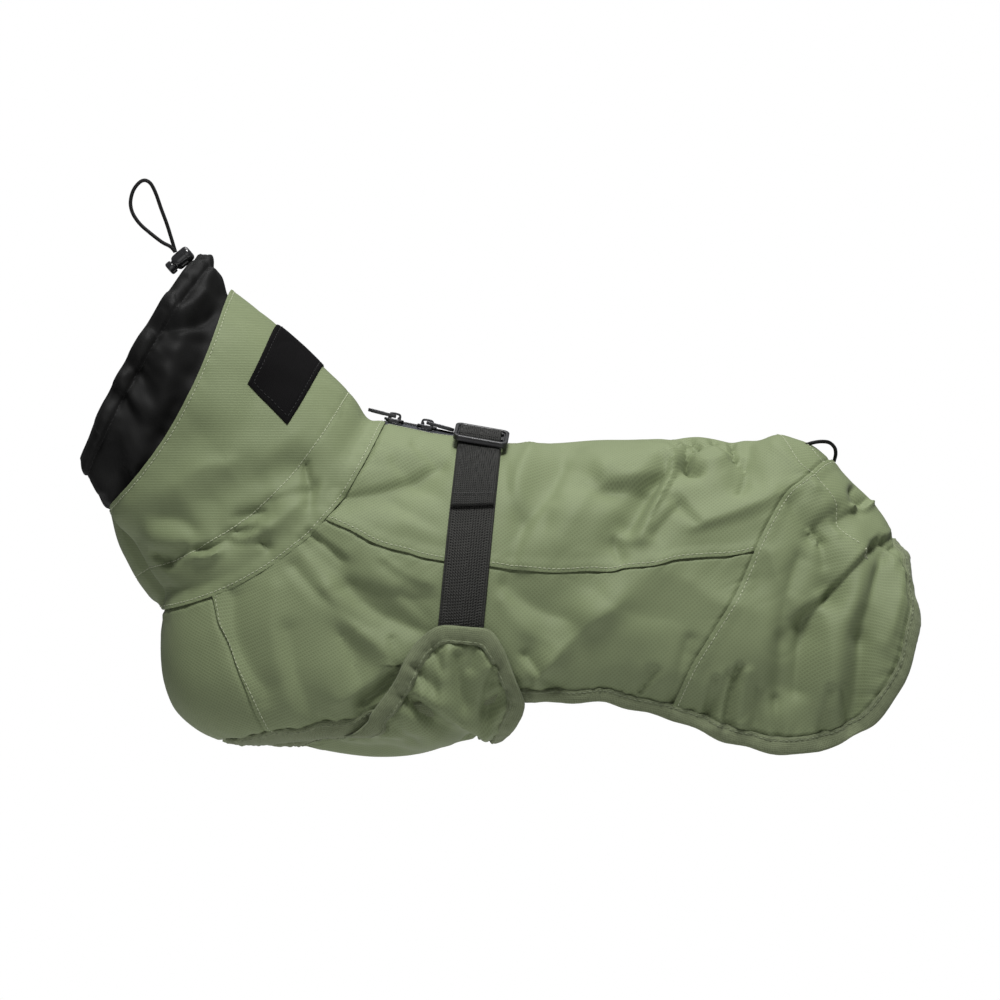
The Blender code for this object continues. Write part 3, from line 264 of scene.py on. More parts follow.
# Broad soft swells and hollows: the same columns as the folds.
SWELLS = (
    (16, -108, 70, -100, 3, 17, 20, -4.2, 0.9),
    (84, -98, 150, -106, 2, 20, 20, -4.0, 1.0),
    (120, -142, 70, -132, 0, 9, 10, 1.8, 1.0),
    (95, -152, 222, -150, 0, 26, 26, 4.5, 1.0),
    (8, -12, 4, -40, 0, 11, 13, 1.9, 0.9),
    (-104, -2, -88, -30, 2, 14, 14, 1.6, 0.9),
)
# Folds of the belly panel's wings alone, with the same columns.
WING_FOLDS = (
    (-17, -110, -20, -132, 1, 4.0, 5.5, -1.6, 0.9, 0.4),
    (-12, -112, -9, -134, 1, 3.0, 4.5, 1.8, 1.0, 0.5),
    (-30, -132, 6, -150, 2, 4, 5, -1.9, 1.0, 0.6),
    (-32, -138, 0, -156, 2, 4, 6, 1.8, 1.0, 0.4),
    (8, -116, 2, -138, 1, 2.6, 4, 1.6, 0.8, 0.5),
    (13, -128, 4, -140, 1, 2.4, 4, 1.6, 0.8, 0.4),
    (14, -136, 2, -147, 0, 2.4, 4, -1.2, 0.8, 0.4),
    (-34, -118, -24, -128, 0, 2.6, 4, 1.3, 1.0, 0.4),
    (-41, -132, -28, -141, 0, 2.6, 4, 1.4, 1.0, 0.4),
    (-48, -146, -36, -155, 0, 3, 4, 1.3, 1.0, 0.4),
    (-24, -108, -20, -118, 0, 2.2, 3, 1.2, 1.0, 0.3),
    (-3, -108, -5, -117, 0, 2.2, 3, 1.2, 1.0, 0.3),
)
# Swells and dips of the spine's line: x, height, half width.
SPINE_SWELLS = ((104, -0.8, 5), (119, 1.5, 9), (137, -2.0, 6), (150, -2.3, 8), (162, 2.1, 8),
                (178, 1.7, 8), (208, 3.4, 9))
FOLD_SHOULDER = 0.1       # height of the rise beside a fold, as a share of its depth
STEEPENING = 0.72         # how much a steep wall narrows and the other widens
COLLAR_LINE_DEPTH = 0.25  # of the dent along the collar's stitched line
CREST = 0.2               # roundness of a crisp crease, as a share of its width
LEAST_WIDTH = 1.5         # of the steep wall of a fold, mm
CREASE_STRENGTH = 1.5
WING_STRENGTH = 2.1
SPINE_FADE = 15.0         # the large folds fade out this near the spine
CREASE_FADE, SWELL_FADE = 7.0, 9.0
RIGHT_SHIFT = 6.0         # of the right side's folds along the body

SIDE_SEAM = ((-63, -49), (-42, -57), (-28, -61), (6, -65), (34, -68), (58, -67.5), (70, -67.8),
             (76, -66.3), (90, -65.4), (96, -64.2), (104, -61.9), (119, -60.4), (133, -59.6),
             (146, -57))
REAR_SEAM_TOP = ((176, -18), (163, -28), (155, -40), (150, -49))
REAR_SEAM_LOW = ((146, -57), (137, -77), (127, -93), (117, -109), (110, -122), (103, -140))
CHEST_SEAM = ((-137, -94), (-131, -107), (-126, -121), (-121, -133), (-116, -145), (-112, -152))
# Hem binding: inner edge x, z and outer edge x, z.
HEM = (
    (-112, -152, -106, -159), (-95, -150, -90, -157), (-80, -147.5, -77, -155.5),
    (-68, -146, -65, -153.5), (-54, -141, -52, -149), (-31, -136, -30, -144),
    (-5, -132, -4, -140), (24, -129, 24, -136.5), (47, -130, 46, -137), (67, -130, 66, -138),
    (86, -136, 84, -143.5), (103, -139.5, 100, -147.5), (118, -145, 116, -153.5),
    (135, -151.5, 133, -160.5), (156, -156.5, 156, -165.5), (178, -155, 180, -164.5),
    (198, -149, 202.5, -155.5), (209, -138, 214.5, -145.5), (219.5, -122, 225.5, -129),
    (225, -105, 231.5, -111.5),
)
SEAM_ROW = 11            # of the hem, where the rear seam meets it
CORNER_ROW = 16          # of the hem, at the rump's lower corner
REAR_BINDING = 0.46
BELLY_FRONT = ((7.0, 22, 13.5), (7.5, 18, 9.5), (8.0, 18, 9.5))
# Belly panel edge on the side: outer x, z and inner x, z.
BELLY_SIDE = (
    (-64, -148.5, -55, -153), (-57, -140.5, -49, -146), (-47, -129, -39, -134),
    (-39, -115, -31, -119.5), (-31, -104, -25, -110.5), (-21, -96, -18, -105.5),
    (-8, -95.5, -8.5, -105.5), (5, -97.5, 0, -107), (12, -106.5, 4.5, -112.5),
    (19, -121, 11, -124.5), (23.5, -133, 14.5, -133), (22.5, -140, 13.5, -138),
    (19.5, -145.5, 10.5, -142.5),
)
WING_CORNER_ROW = 7
BELLY_REAR = ((10.25, 32, 10.03, 29), (10.15, 16, 9.93, 15), (10.1, 0.3, 9.89, 0.3))

# Snood rings outside the collar: top_x, top_z, bottom_x, bottom_z, half_width, sag, ripple
SNOOD_RINGS = (
    (-141.5, 86.5, -202.5, -33, 44.0, 7, 0.5),
    (-144.5, 93, -207, -26, 45.5, 4, 1.2),
    (-148, 98, -211, -18, 44.0, 0, 1.7),
    (-151.5, 100.4, -213, -12.5, 41.0, -1.5, 2.1),
    (-154.5, 100.0, -214.5, -8.5, 38.0, -3, 2.3),
)
SNOOD_INSIDE = ((2.15, -3.2), (1.6, -3.3), (1.0, -3.4), (0.5, -3.4), (0.05, -3.6))
SNOOD_WAVES = 15
SNOOD_FOLLOWS = 0.7      # share of the collar's lobes that the tube's mouth has

# Routes of the two cords, as in the solid model: x, y, z.
SNOOD_CORD_ROUTE = (
    (-164.3, -12.4, 103.4), (-166.8, -12.4, 106.2), (-171.4, -12.4, 108.7), (-177.8, -12.2, 113.6),
    (-183.4, -12.0, 118.6), (-187.2, -11.8, 124.2), (-188.5, -11.4, 130.0), (-187.2, -11.0, 136.2),
    (-184.2, -10.6, 140.6), (-181.0, -10.4, 142.2), (-177.8, -10.2, 140.5), (-175.0, -10.0, 135.2),
    (-172.2, -9.8, 127.2), (-169.1, -9.5, 118.8), (-166.6, -9.3, 110.8), (-164.4, -9.2, 103.4),
)
TAIL_LOOP_ROUTE = (
    (175.9, -9.1, -0.7), (180.2, -9.4, 0.6), (185.0, -8.0, 1.2), (189.4, -4.0, 0.6),
    (192.6, 1.5, -2.0), (193.6, 6.0, -5.2), (193.2, 9.0, -8.4), (192.2, 10.2, -11.6),
)
CORD_DIAMETER = 2.0


def turns(count):
    """Even angles round a full circle."""
    return np.linspace(0, 2 * math.pi, count, endpoint=False)


# ---------------------------------------------------------------- camera, light and floor

def linked(name, data, place=(0, 0, 0)):
    made = bpy.data.objects.new(name, data)
    made.location = place
    bpy.context.collection.objects.link(made)
    return made


def studio():
    camera = bpy.data.cameras.new("camera")
    camera.lens = 135
    camera.sensor_width = 36
    camera.clip_end = 50
    eye = linked("camera", camera, (0.0109, -2.035, -0.0304))
    eye.rotation_euler = (math.radians(90), 0, 0)
    bpy.context.scene.camera = eye

    # name, place, size, power
    for name, place, size, power in (("key", (0.15, -1.0, 1.85), 0.6, 60.0),
                                     ("top", (0.1, 0.6, 1.9), 1.2, 20.0),
                                     ("front", (0.0, -2.6, 0.2), 1.4, 5.0)):
        light = bpy.data.lights.new(name, 'AREA')
        light.energy = power
        light.size = size
        lamp = linked(name, light, place)
        ahead = Vector((0, 0, -0.04)) - lamp.location
        lamp.rotation_euler = ahead.to_track_quat('-Z', 'Y').to_euler()

    # the background is seen white and lights the cloth softly
    world = bpy.data.worlds.new("studio")
    world.use_nodes = True
    tree = world.node_tree
    seen = tree.nodes["Background"]
    soft = tree.nodes.new("ShaderNodeBackground")
    for light, colour, strength in ((seen, (1, 1, 1, 1), 1.0), (soft, (0.96, 0.98, 1, 1), AMBIENT)):
        light.inputs["Color"].default_value = colour
        light.inputs["Strength"].default_value = strength
    rays = tree.nodes.new("ShaderNodeLightPath")
    both = tree.nodes.new("ShaderNodeMixShader")
    for socket, source in enumerate((rays.outputs["Is Camera Ray"], soft.outputs[0],
                                     seen.outputs[0])):
        tree.links.new(source, both.inputs[socket])
    tree.links.new(both.outputs[0], tree.nodes["World Output"].inputs[0])
    bpy.context.scene.world = world
    bpy.context.scene.view_settings.view_transform = 'Standard'

    floor_height, floor_radius, corners = -0.62, 1.5, 96
    turn = turns(corners)
    rim = np.stack((floor_radius * np.cos(turn), floor_radius * np.sin(turn),
                    np.full(corners, floor_height)), axis=-1)
    floor = bpy.data.meshes.new("floor")
    floor.from_pydata(rim.tolist(), [], [tuple(range(corners))])
    floor.materials.append(new_material("floor", (0.8, 0.8, 0.8), 0.9)[0])
    ground = linked("floor", floor)


# ---------------------------------------------------------------- materials

def new_material(name, colour, roughness):
    made = bpy.data.materials.new(name)
    made.use_nodes = True
    shader = made.node_tree.nodes["Principled BSDF"]
    shader.inputs["Base Color"].default_value = (*colour, 1)
    shader.inputs["Roughness"].default_value = roughness
    return made, made.node_tree, shader


studio()


def node(tree, kind, **values):
    made = tree.nodes.new(kind)
    for key, value in values.items():
        setattr(made, key, value)
    return made


def link(tree, source, target):
    tree.links.new(source, target)


def arithmetic(tree, operation, *values):
    made = node(tree, "ShaderNodeMath", operation=operation)
    for socket, value in zip(made.inputs, values):
        if isinstance(value, (int, float)):
            socket.default_value = value
        else:
            link(tree, value, socket)
    return made.outputs[0]


def bands(tree, vector, angle, pitch, distortion):
    """Sine bands across a direction, with the given pitch in millimetres."""
    turn = node(tree, "ShaderNodeMapping")
    turn.inputs["Rotation"].default_value = (0, 0, angle)
    link(tree, vector, turn.inputs["Vector"])
    wave = node(tree, "ShaderNodeTexWave", wave_type='BANDS', bands_direction='X',
                wave_profile='SIN')
    wave.inputs["Scale"].default_value = 2 * math.pi / 20 / pitch
    wave.inputs["Distortion"].default_value = distortion
    wave.inputs["Detail"].default_value = 1.0
    wave.inputs["Detail Scale"].default_value = 0.35
    link(tree, turn.outputs[0], wave.inputs["Vector"])
    return wave.outputs["Fac"]


def noise(tree, vector, scale, detail, rough=0.5):
    made = node(tree, "ShaderNodeTexNoise")
    made.inputs["Scale"].default_value = scale
    made.inputs["Detail"].default_value = detail
    made.inputs["Roughness"].default_value = rough
    link(tree, vector, made.inputs["Vector"])
    return made.outputs["Fac"]


def mixed(tree, factor, low, high):
    """Colour between two, by a factor from 0 to 1."""
    ramp = node(tree, "ShaderNodeMix", data_type='RGBA')
    link(tree, factor, ramp.inputs[0])
    ramp.inputs[6].default_value = (*low, 1)
    ramp.inputs[7].default_value = (*high, 1)
    return ramp.outputs[2]


def scaled(colour, amount):
    return tuple(c * amount for c in colour)


def bump(tree, shader, height, strength, distance):
    made = node(tree, "ShaderNodeBump")
    made.inputs["Strength"].default_value = strength
    made.inputs["Distance"].default_value = distance
    link(tree, height, made.inputs["Height"])
    link(tree, made.outputs[0], shader.inputs["Normal"])


def woven(name, colour, roughness, threads, contrast, mottle, relief_mm, sheen, flecks=0.12,
          specular=0.2, thin=2.2, spread=0.5):
    """Cloth whose threads are bands in the directions and pitches of the threads' rows.

    threads has rows of angle in degrees, pitch in millimetres and weight. Where thin is over 1
    the threads are thin pale lines on a darker ground.
    """
    made, tree, shader = new_material(name, colour, roughness)
    place = node(tree, "ShaderNodeUVMap", uv_map="cloth").outputs[0]
    total = None
    for angle, pitch, weight in threads:
        band = arithmetic(tree, 'POWER', bands(tree, place, math.radians(angle), pitch, 0.3), thin)
        band = arithmetic(tree, 'MULTIPLY', band, weight)
        total = band if total is None else arithmetic(tree, 'MAXIMUM', total, band)
    fleck = noise(tree, place, 1.1, 3.0, 0.7)
    patches = noise(tree, place, 0.035, 3.0, 0.55)
    factor = 0.5
    for value, middle, weight in ((total, 0.42, contrast), (fleck, 0.5, flecks * 2),
                                  (patches, 0.5, mottle * 2)):
        part = arithmetic(tree, 'MULTIPLY', arithmetic(tree, 'SUBTRACT', value, middle), weight)
        factor = arithmetic(tree, 'ADD', part, factor)
    factor.node.use_clamp = True
    link(tree, mixed(tree, factor, scaled(colour, 1 - spread), scaled(colour, 1 + spread)),
         shader.inputs["Base Color"])
    height = arithmetic(tree, 'ADD', total, arithmetic(tree, 'MULTIPLY', fleck, 0.5))
    bump(tree, shader, height, 0.55, relief_mm * MM)
    for socket, value in (("Sheen Weight", sheen), ("Sheen Roughness", 0.5),
                          ("Specular IOR Level", specular)):
        shader.inputs[socket].default_value = value
    return made


def moulded(name, colour, roughness, grain, metallic=0.0, coat=0.0):
    """Plastic or painted metal with a fine grain and uneven gloss."""
    made, tree, shader = new_material(name, colour, roughness)
    place = node(tree, "ShaderNodeTexCoord").outputs["Object"]
    fine = noise(tree, place, 2600.0, 3.0)
    broad = noise(tree, place, 240.0, 3.0)
    link(tree, mixed(tree, broad, scaled(colour, 0.8), scaled(colour, 1.25)),
         shader.inputs["Base Color"])
    uneven = node(tree, "ShaderNodeMapRange")
    uneven.inputs["To Min"].default_value = roughness - 0.06
    uneven.inputs["To Max"].default_value = roughness + 0.08
    link(tree, broad, uneven.inputs["Value"])
    link(tree, uneven.outputs[0], shader.inputs["Roughness"])
    bump(tree, shader, fine, 0.3, grain * MM)
    for socket, value in (("Metallic", metallic), ("Coat Weight", coat), ("Coat Roughness", 0.15)):
        shader.inputs[socket].default_value = value
    return made


SAGE = (0.150, 0.180, 0.094)
SEWN = ((30, 0.35, 1.0),)


def plain_weave(pitch_along, pitch_across, weight=1.0, turn=0):
    """Two sets of threads across each other."""
    return (turn, pitch_along, weight), (turn + 90, pitch_across, 1.0)


BODY = woven("sage_body", SAGE, 0.62, ((42, 1.6, 0.85), (-48, 1.6, 1.0)), 0.24, 0.05, 0.12, 0.03)
UPPER = woven("sage_collar", SAGE, 0.62, plain_weave(1.4, 1.4, 0.35), 0.15, 0.05, 0.10, 0.03)
EDGING = woven("sage_binding", (0.118, 0.136, 0.078), 0.85, plain_weave(1.1, 0.9, 0.9), 0.6, 0.26,
               0.25, 0.08, 0.55, thin=1.0)
BLACK = woven("black_cloth", (0.0050, 0.0050, 0.0048), 0.66, plain_weave(1.2, 1.2, turn=-45),
              0.4, 0.2, 0.05, 0.0, specular=0.15)
PATCH = woven("black_patch", (0.0036, 0.0034, 0.0036), 0.8, plain_weave(1.2, 1.2), 0.5, 0.15,
              0.06, 0.0, specular=0.04)
ZIP_CLOTH = woven("grey_tape", (0.034, 0.036, 0.041), 0.7, plain_weave(1.1, 0.9), 0.5, 0.1, 0.12,
                  0.0, 0.2, thin=1.0)
WEBBING = woven("black_webbing", (0.0185, 0.0185, 0.0168), 0.75, plain_weave(1.45, 1.6, 0.9),
                1.9, 0.12, 0.5, 0.0, 0.25, thin=1.5, spread=0.95)
FINE_WEBBING = woven("black_webbing_fine", (0.0165, 0.0165, 0.0153), 0.75,
                     plain_weave(1.2, 1.3, 0.9), 1.8, 0.12, 0.45, 0.0, 0.25, thin=1.5, spread=0.95)
CORD = woven("black_cord", (0.006, 0.006, 0.006), 0.6, plain_weave(1.0, 1.0, turn=-45),
             0.6, 0.1, 0.1, 0.0, specular=0.15)
THREAD = woven("sage_thread", (0.36, 0.39, 0.27), 0.7, SEWN, 0.3, 0.1, 0.05, 0.0)
EDGE_THREAD = woven("binding_thread", (0.20, 0.225, 0.145), 0.8, SEWN, 0.3, 0.1, 0.05, 0.0)
DARK_THREAD = woven("black_thread", (0.012, 0.012, 0.012), 0.6, SEWN, 0.4, 0.1, 0.06, 0.0)
PLASTIC = moulded("black_plastic", (0.013, 0.013, 0.014), 0.34, 0.02)
GLOSSY = moulded("black_gloss", (0.012, 0.012, 0.013), 0.22, 0.01, 0.0, 0.4)
METAL = moulded("dark_metal", (0.045, 0.045, 0.047), 0.34, 0.02, 0.75)
TEETH = moulded("black_teeth", (0.012, 0.012, 0.012), 0.42, 0.02)


# ---------------------------------------------------------------- master surface

def cubic(table, u):
    """Smooth curve through the rows of a table, read at row numbers u."""
    table = np.asarray(table, float)
    u = np.clip(np.asarray(u, float), 0, len(table) - 1)
    row = np.minimum(u.astype(int), len(table) - 2)
    ends = np.concatenate(([2 * table[0] - table[1]], table, [2 * table[-1] - table[-2]]))
    before, start, end, after = (ends[row + k] for k in range(4))
    t = (u - row).reshape(u.shape + (1,) * (table.ndim - 1))
    return 0.5 * (2 * start + (end - before) * t
                  + (2 * before - 5 * start + 4 * end - after) * t ** 2
                  + (3 * start - 3 * end + after - before) * t ** 3)


def smooth(t):
    t = np.clip(t, 0, 1)
    return t * t * (3 - 2 * t)


def unit(vectors):
    return vectors / np.maximum(np.linalg.norm(vectors, axis=-1, keepdims=True), 1e-9)


def ring_point(top_x, top_z, bottom_x, bottom_z, half_width, sag, phi):
    """Point on a closed section; its upper half is an ellipse and its lower half squarer."""
    cosine, sine = np.cos(phi), np.sin(phi)
    power = np.where(cosine > 0, 2.0, LOWER_SQUARE)
    reach = (np.abs(cosine) ** power + np.abs(sine) ** power) ** (-1 / power)
    share = (1 - reach * cosine) / 2
    run_x, run_z = bottom_x - top_x, bottom_z - top_z
    length = np.hypot(run_x, run_z)
    bulge = sag * 4 * share * (1 - share) / length
    return np.stack((top_x + run_x * share - run_z * bulge,
                     -half_width * reach * sine,
                     top_z + run_z * share + run_x * bulge), axis=-1)


def base_point(s, phi):
    columns = cubic(SECTIONS, s)
    return ring_point(*(columns[..., k] for k in range(6)), phi)


def base_normal(s, phi):
    step = 0.012
    low, high = np.clip(s - step, 0, LAST), np.clip(s + step, 0, LAST)
    along = base_point(high, phi) - base_point(low, phi)
    around = base_point(s, phi + step) - base_point(s, phi - step)
    return unit(np.cross(around, along))


def bell(distance, width):
    return np.exp(-(distance / width) ** 2)


def fold_height(x, z, rows, shift, scaled_down, crisp):
    """Height of the folds over the master surface at side-view places.

    A crisp fold has a narrow crest or bottom between nearly straight walls. A row's tenth value
    is its steepness: above 0 the wall on the right hand of its run is the steep one, below 0 the
    wall on the left hand.
    """
    height = np.zeros_like(x)
    for number, row in enumerate(rows):
        x0, z0, x1, z1, bow, width0, width1, depth, scale = row[:9]
        steep = STEEPENING * row[9] if len(row) > 9 else 0.0
        move = shift * (1 if number % 2 else -0.6)
        run_x, run_z = x1 - x0, z1 - z0
        length = math.hypot(run_x, run_z)
        t = ((x - x0 - move) * run_x + (z - z0) * run_z) / length ** 2
        aside = ((x - x0 - move) * run_z - (z - z0) * run_x) / length
        inside = np.clip(t, 0, 1)
        width = width0 + (width1 - width0) * inside
        u = (aside - bow * 4 * inside * (1 - inside)) / width
        if steep:
            steeper = np.maximum(width * (1 - abs(steep)), LEAST_WIDTH) / width
            u = np.where((u > 0) == (steep > 0), u / steeper, u / (1 + abs(steep)))
        past = np.maximum(-t, t - 1).clip(0) * length / width
        if crisp:
            shape = np.exp(-1.35 * (np.sqrt(u ** 2 + CREST ** 2) - CREST) ** 1.25)
        else:
            shape = np.exp(-u ** 2)
        shape = shape - FOLD_SHOULDER * np.exp(-1.5 * (np.abs(u) - 1.8) ** 2)
        height -= depth * (scale if scaled_down else 1.0) * shape * np.exp(-past ** 2)
    return height


def both_sides(place, rows, fade, shift, crisp=False):
    """The left side's folds and, past the spine, the right side's shifted and scaled ones."""
    x, y, z = place
    return (fold_height(x, z, rows, 0.0, False, crisp) * smooth(-y / fade)
            + fold_height(x, z, rows, shift, True, crisp) * smooth(y / fade))


def strap_line(z):
    return 0.1 * np.minimum(z, 0)


def large_folds(place):
    """The largest folds, which the solid model has too, pressed flat under the strap."""
    pressed = 1 - 0.95 * np.exp(-((place[0] - strap_line(place[2])) / STRAP_PRESS) ** 4)
    return both_sides(place, FOLDS, SPINE_FADE, RIGHT_SHIFT) * pressed


def wrapped(phi):
    return np.arctan2(np.sin(phi), np.cos(phi))


def front_lobes(s, phi, depth=13.0, width=0.17, aside=0.18):
    """The collar's front has a valley beside its middle line, and a fuller right lobe."""
    from_front = math.pi - np.abs(wrapped(phi))
    reach = 1 - smooth((s - 3.2) / 1.4)
    beside = from_front * np.where(np.sin(phi) >= 0, 1, -1) - aside
    valley = -depth * bell(beside, width)
    lobe = 5.0 * bell(from_front - 0.5, 0.35) * (np.sin(phi) < 0)
    behind = smooth((s - 0.3) / 1.0) * (1 - smooth((s - 3.3) / 0.9))
    back = -8.0 * bell(from_front - 0.62, 0.36) * (np.sin(phi) > 0) * behind
    return (valley + lobe) * reach + back


def waves(points, size, seed, count=14):
    """Smooth unevenness between about -1 and 1, with lumps of roughly the given size."""
    random = np.random.default_rng(seed)
    total = np.zeros(points.shape[:-1])
    for _ in range(count):
        direction = unit(random.normal(size=3))
        total += np.cos(points @ direction * (math.pi / size / random.uniform(0.6, 1.5))
                        + random.uniform(0, 2 * math.pi))
    return total / math.sqrt(count)


def crumple(points, size, seed, width):
    """Thin creases of an even width where a wavy field passes through zero."""
    random = np.random.default_rng(seed)
    field, slope = np.zeros(points.shape[:-1]), np.zeros(points.shape)
    for _ in range(14):
        wave = unit(random.normal(size=3)) * math.pi / size / random.uniform(0.6, 1.5)
        angle = points @ wave + random.uniform(0, 2 * math.pi)
        field += np.cos(angle)
        slope -= np.sin(angle)[..., None] * wave
    steep = np.linalg.norm(slope, axis=-1)
    where = smooth(waves(points, size * 2.2, seed + 1) * 0.8) * smooth(steep * size / 4 - 0.6)
    return -np.exp(-(np.abs(field) / np.maximum(steep, 1e-6) / width) ** 1.4) * where


def relief(s, phi, point, wing=False):
    """Height of all the folds, creases, swells and lumps over the master surface."""
    place = x, _, z = np.moveaxis(point, -1, 0)
    fine = both_sides(place, WING_FOLDS if wing else CREASES, CREASE_FADE,
                      RIGHT_SHIFT * 0.7, True)
    fine *= WING_STRENGTH if wing else CREASE_STRENGTH
    fine += both_sides(place, SWELLS, SWELL_FADE, RIGHT_SHIFT)
    fine += 0.45 * waves(point, 24, 5) + 0.10 * waves(point, 9, 6)
    fine += 0.45 * crumple(point, 30, 11, 2.6) + 0.22 * crumple(point, 15, 21, 1.6)
    if not wing:
        fine *= 1 - np.exp(-((x - strap_line(z)) / STRAP_TIGHT) ** 4)
    spine = np.zeros_like(x)
    for middle, height, width in SPINE_SWELLS:
        spine += height * bell(x - middle, width)
    spine *= bell(wrapped(phi), 0.42)
    line = COLLAR_LINE_DEPTH * bell(s - COLLAR_LINE, 0.05)
    return large_folds(place) + fine + spine + front_lobes(s, phi) - line


def surface(s, phi, offset, wing=False):
    """Points and normals at a height over the creased cloth's inner face."""
    s, phi = np.asarray(s, float), np.asarray(phi, float)
    base, out = base_point(s, phi), base_normal(s, phi)
    height = relief(s, phi, base, wing) + offset
    return base + out * np.asarray(height)[..., None], out


# ---------------------------------------------------------------- places on the surface

def bisected(low, high, is_low):
    """Where a test that holds at the low end stops holding."""
    for _ in range(40):
        middle = (low + high) / 2
        below = is_low(middle)
        low, high = np.where(below, middle, low), np.where(below, high, middle)
    return middle


def side_place(x, z):
    """Section and angle of the left side's point at a side-view place."""
    def share_and_aside(s):
        top_x, top_z, bottom_x, bottom_z, _, sag = cubic(SECTIONS, s)
        length = math.hypot(bottom_x - top_x, bottom_z - top_z)
        run_x, run_z = (bottom_x - top_x) / length, (bottom_z - top_z) / length
        share = ((x - top_x) * run_x + (z - top_z) * run_z) / length
        share = min(max(share, 0.0), 1.0)
        return share, ((z - top_z) * run_x - (x - top_x) * run_z - sag * 4 * share * (1 - share))
    s = float(bisected(0.0, LAST, lambda s: share_and_aside(s)[1] > 0))
    height = 1 - 2 * share_and_aside(s)[0]
    power = 2.0 if height > 0 else LOWER_SQUARE
    return s, math.atan2((1 - abs(height) ** power) ** (1 / power), height)


def under_place(s, distance):
    across = distance / cubic(SECTIONS, s)[4]
    height = -(1 - across ** LOWER_SQUARE) ** (1 / LOWER_SQUARE)
    return s, math.atan2(across, height)


def top_place(s, distance):
    return s, math.asin(distance / cubic(SECTIONS, s)[4])


def side_path(rows):
    return [side_place(x, z) for x, z in rows]


def path(places):
    """Dense smooth line through places given as section and angle."""
    places = np.array(places, float)
    line = cubic(places, np.linspace(0, len(places) - 1, SAMPLES * (len(places) - 1) + 1))
    line[:, 0] = np.clip(line[:, 0], 0, LAST)
    return line


def rows_of(line, first, last):
    return line[SAMPLES * first:SAMPLES * last + 1]


def join(*parts):
    return np.concatenate([parts[0]] + [part[1:] for part in parts[1:]])


def lengths(points):
    """Distances along each column of a grid of points, or along a line."""
    parts = np.linalg.norm(np.diff(points, axis=0), axis=-1)
    return np.concatenate((np.zeros((1,) + parts.shape[1:]), np.cumsum(parts, axis=0)))


def lengths_across(points):
    return lengths(points.swapaxes(0, 1)).swapaxes(0, 1)


def interpolated(at, along, rows):
    """Rows of a table read at places along it."""
    return np.stack([np.interp(at, along, rows[:, k]) for k in range(rows.shape[1])], axis=-1)


def measure(line):
    return lengths(base_point(line[:, 0], line[:, 1]))


def steps(length, start=True, end=True, finer=1.0):
    """Shares of a length for a grid that is finer beside its edges."""
    place = np.linspace(0, length, 2000)
    edge = np.full_like(place, length)
    if start:
        edge = np.minimum(edge, place)
    if end:
        edge = np.minimum(edge, length - place)
    size = EDGE_GRID + (GRID * finer - EDGE_GRID) * smooth((edge - 5.5) / 6)
    number = np.concatenate(([0], np.cumsum(np.diff(place) / ((size[1:] + size[:-1]) / 2))))
    count = max(4, round(number[-1]))
    return np.interp(np.linspace(0, number[-1], count + 1), number, place) / length


def spread(line, shares, twin=None):
    """Places at shares of a line's length, or the same places on its twin line."""
    length, numbers = measure(line), np.arange(len(line))
    index = np.interp(shares * length[-1], length, numbers)
    return interpolated(index, numbers, line if twin is None else twin)


def patch(top, bottom, left, right, u, v):
    """Grid of places between four lines, read at the shares u along them and v down them."""
    top, bottom = spread(top, u), spread(bottom, u)
    left, right = spread(left, v), spread(right, v)
    u, v = u[None, :, None], v[:, None, None]
    grid = (1 - u) * left[:, None] + u * right[:, None] + (1 - v) * top[None] + v * bottom[None]
    grid -= ((1 - u) * (1 - v) * top[0] + u * (1 - v) * top[-1]
             + (1 - u) * v * bottom[0] + u * v * bottom[-1])
    return grid[..., 0], grid[..., 1]


def relaxed(s, phi, rounds):
    """The grid with its inner places evened out, so that no cell is folded over."""
    s, phi = s.copy(), phi.copy()
    for _ in range(rounds):
        for grid in (s, phi):
            grid[1:-1, 1:-1] = (grid[:-2, 1:-1] + grid[2:, 1:-1]
                                + grid[1:-1, :-2] + grid[1:-1, 2:]) / 4
    return s, phi


def mirrored(s, phi, about):
    return (np.concatenate((s, s[-2::-1])),
            np.concatenate((phi, 2 * about - phi[-2::-1])))


SIDE_START = (COLLAR_SEAM, math.radians(73))
CHEST_START = (COLLAR_SEAM, math.radians(124))
side_seam = path([SIDE_START] + side_path(SIDE_SEAM))
rear_seam_top = path(side_path([SIDE_SEAM[-1]] + list(reversed(REAR_SEAM_TOP)))
                     + [(TAIL_SEAM - 0.12, math.radians(12)), (TAIL_SEAM, 0.0)])
tail_seam = rear_seam_top[rear_seam_top[:, 1] >= TAIL_SEAM_START][::-1]
rear_seam_low = path(side_path(REAR_SEAM_LOW))
chest_seam = path([CHEST_START] + side_path(CHEST_SEAM))
hem_places = side_path([row[:2] for row in HEM])
hem_places[0] = tuple(chest_seam[-1])
front_places = [under_place(FRONT_HEM, 34), under_place(FRONT_HEM + 0.15, 38)]
rear_places = [(LAST - 0.72, math.radians(62)), (LAST - 0.55, math.radians(38)),
               (LAST - REAR_BINDING, math.radians(18)), (LAST - REAR_BINDING, 0.0)]
hem_inner = path(front_places + hem_places + rear_places)
hem_outer = path([under_place(FRONT_HEM + 0.08, 26.5), under_place(FRONT_HEM + 0.3, 28)]
                 + side_path([row[2:] for row in HEM])
                 + [(LAST - 0.06, math.radians(62)), (LAST, math.radians(38)),
                    (LAST, math.radians(18)), (LAST, 0.0)])
HEM_START = len(front_places)
HEM_STOPS = (0, HEM_START, HEM_START + SEAM_ROW, HEM_START + CORNER_ROW,
             HEM_START + len(HEM) + len(rear_places) - 1)
collar_back = path([top_place(COLLAR_SEAM, ZIP_NOTCH), SIDE_START])
collar_side = path([SIDE_START, CHEST_START])
collar_front = path([CHEST_START, (COLLAR_SEAM, math.pi)])


def hem_part(number):
    return rows_of(hem_inner, *HEM_STOPS[number:number + 2])


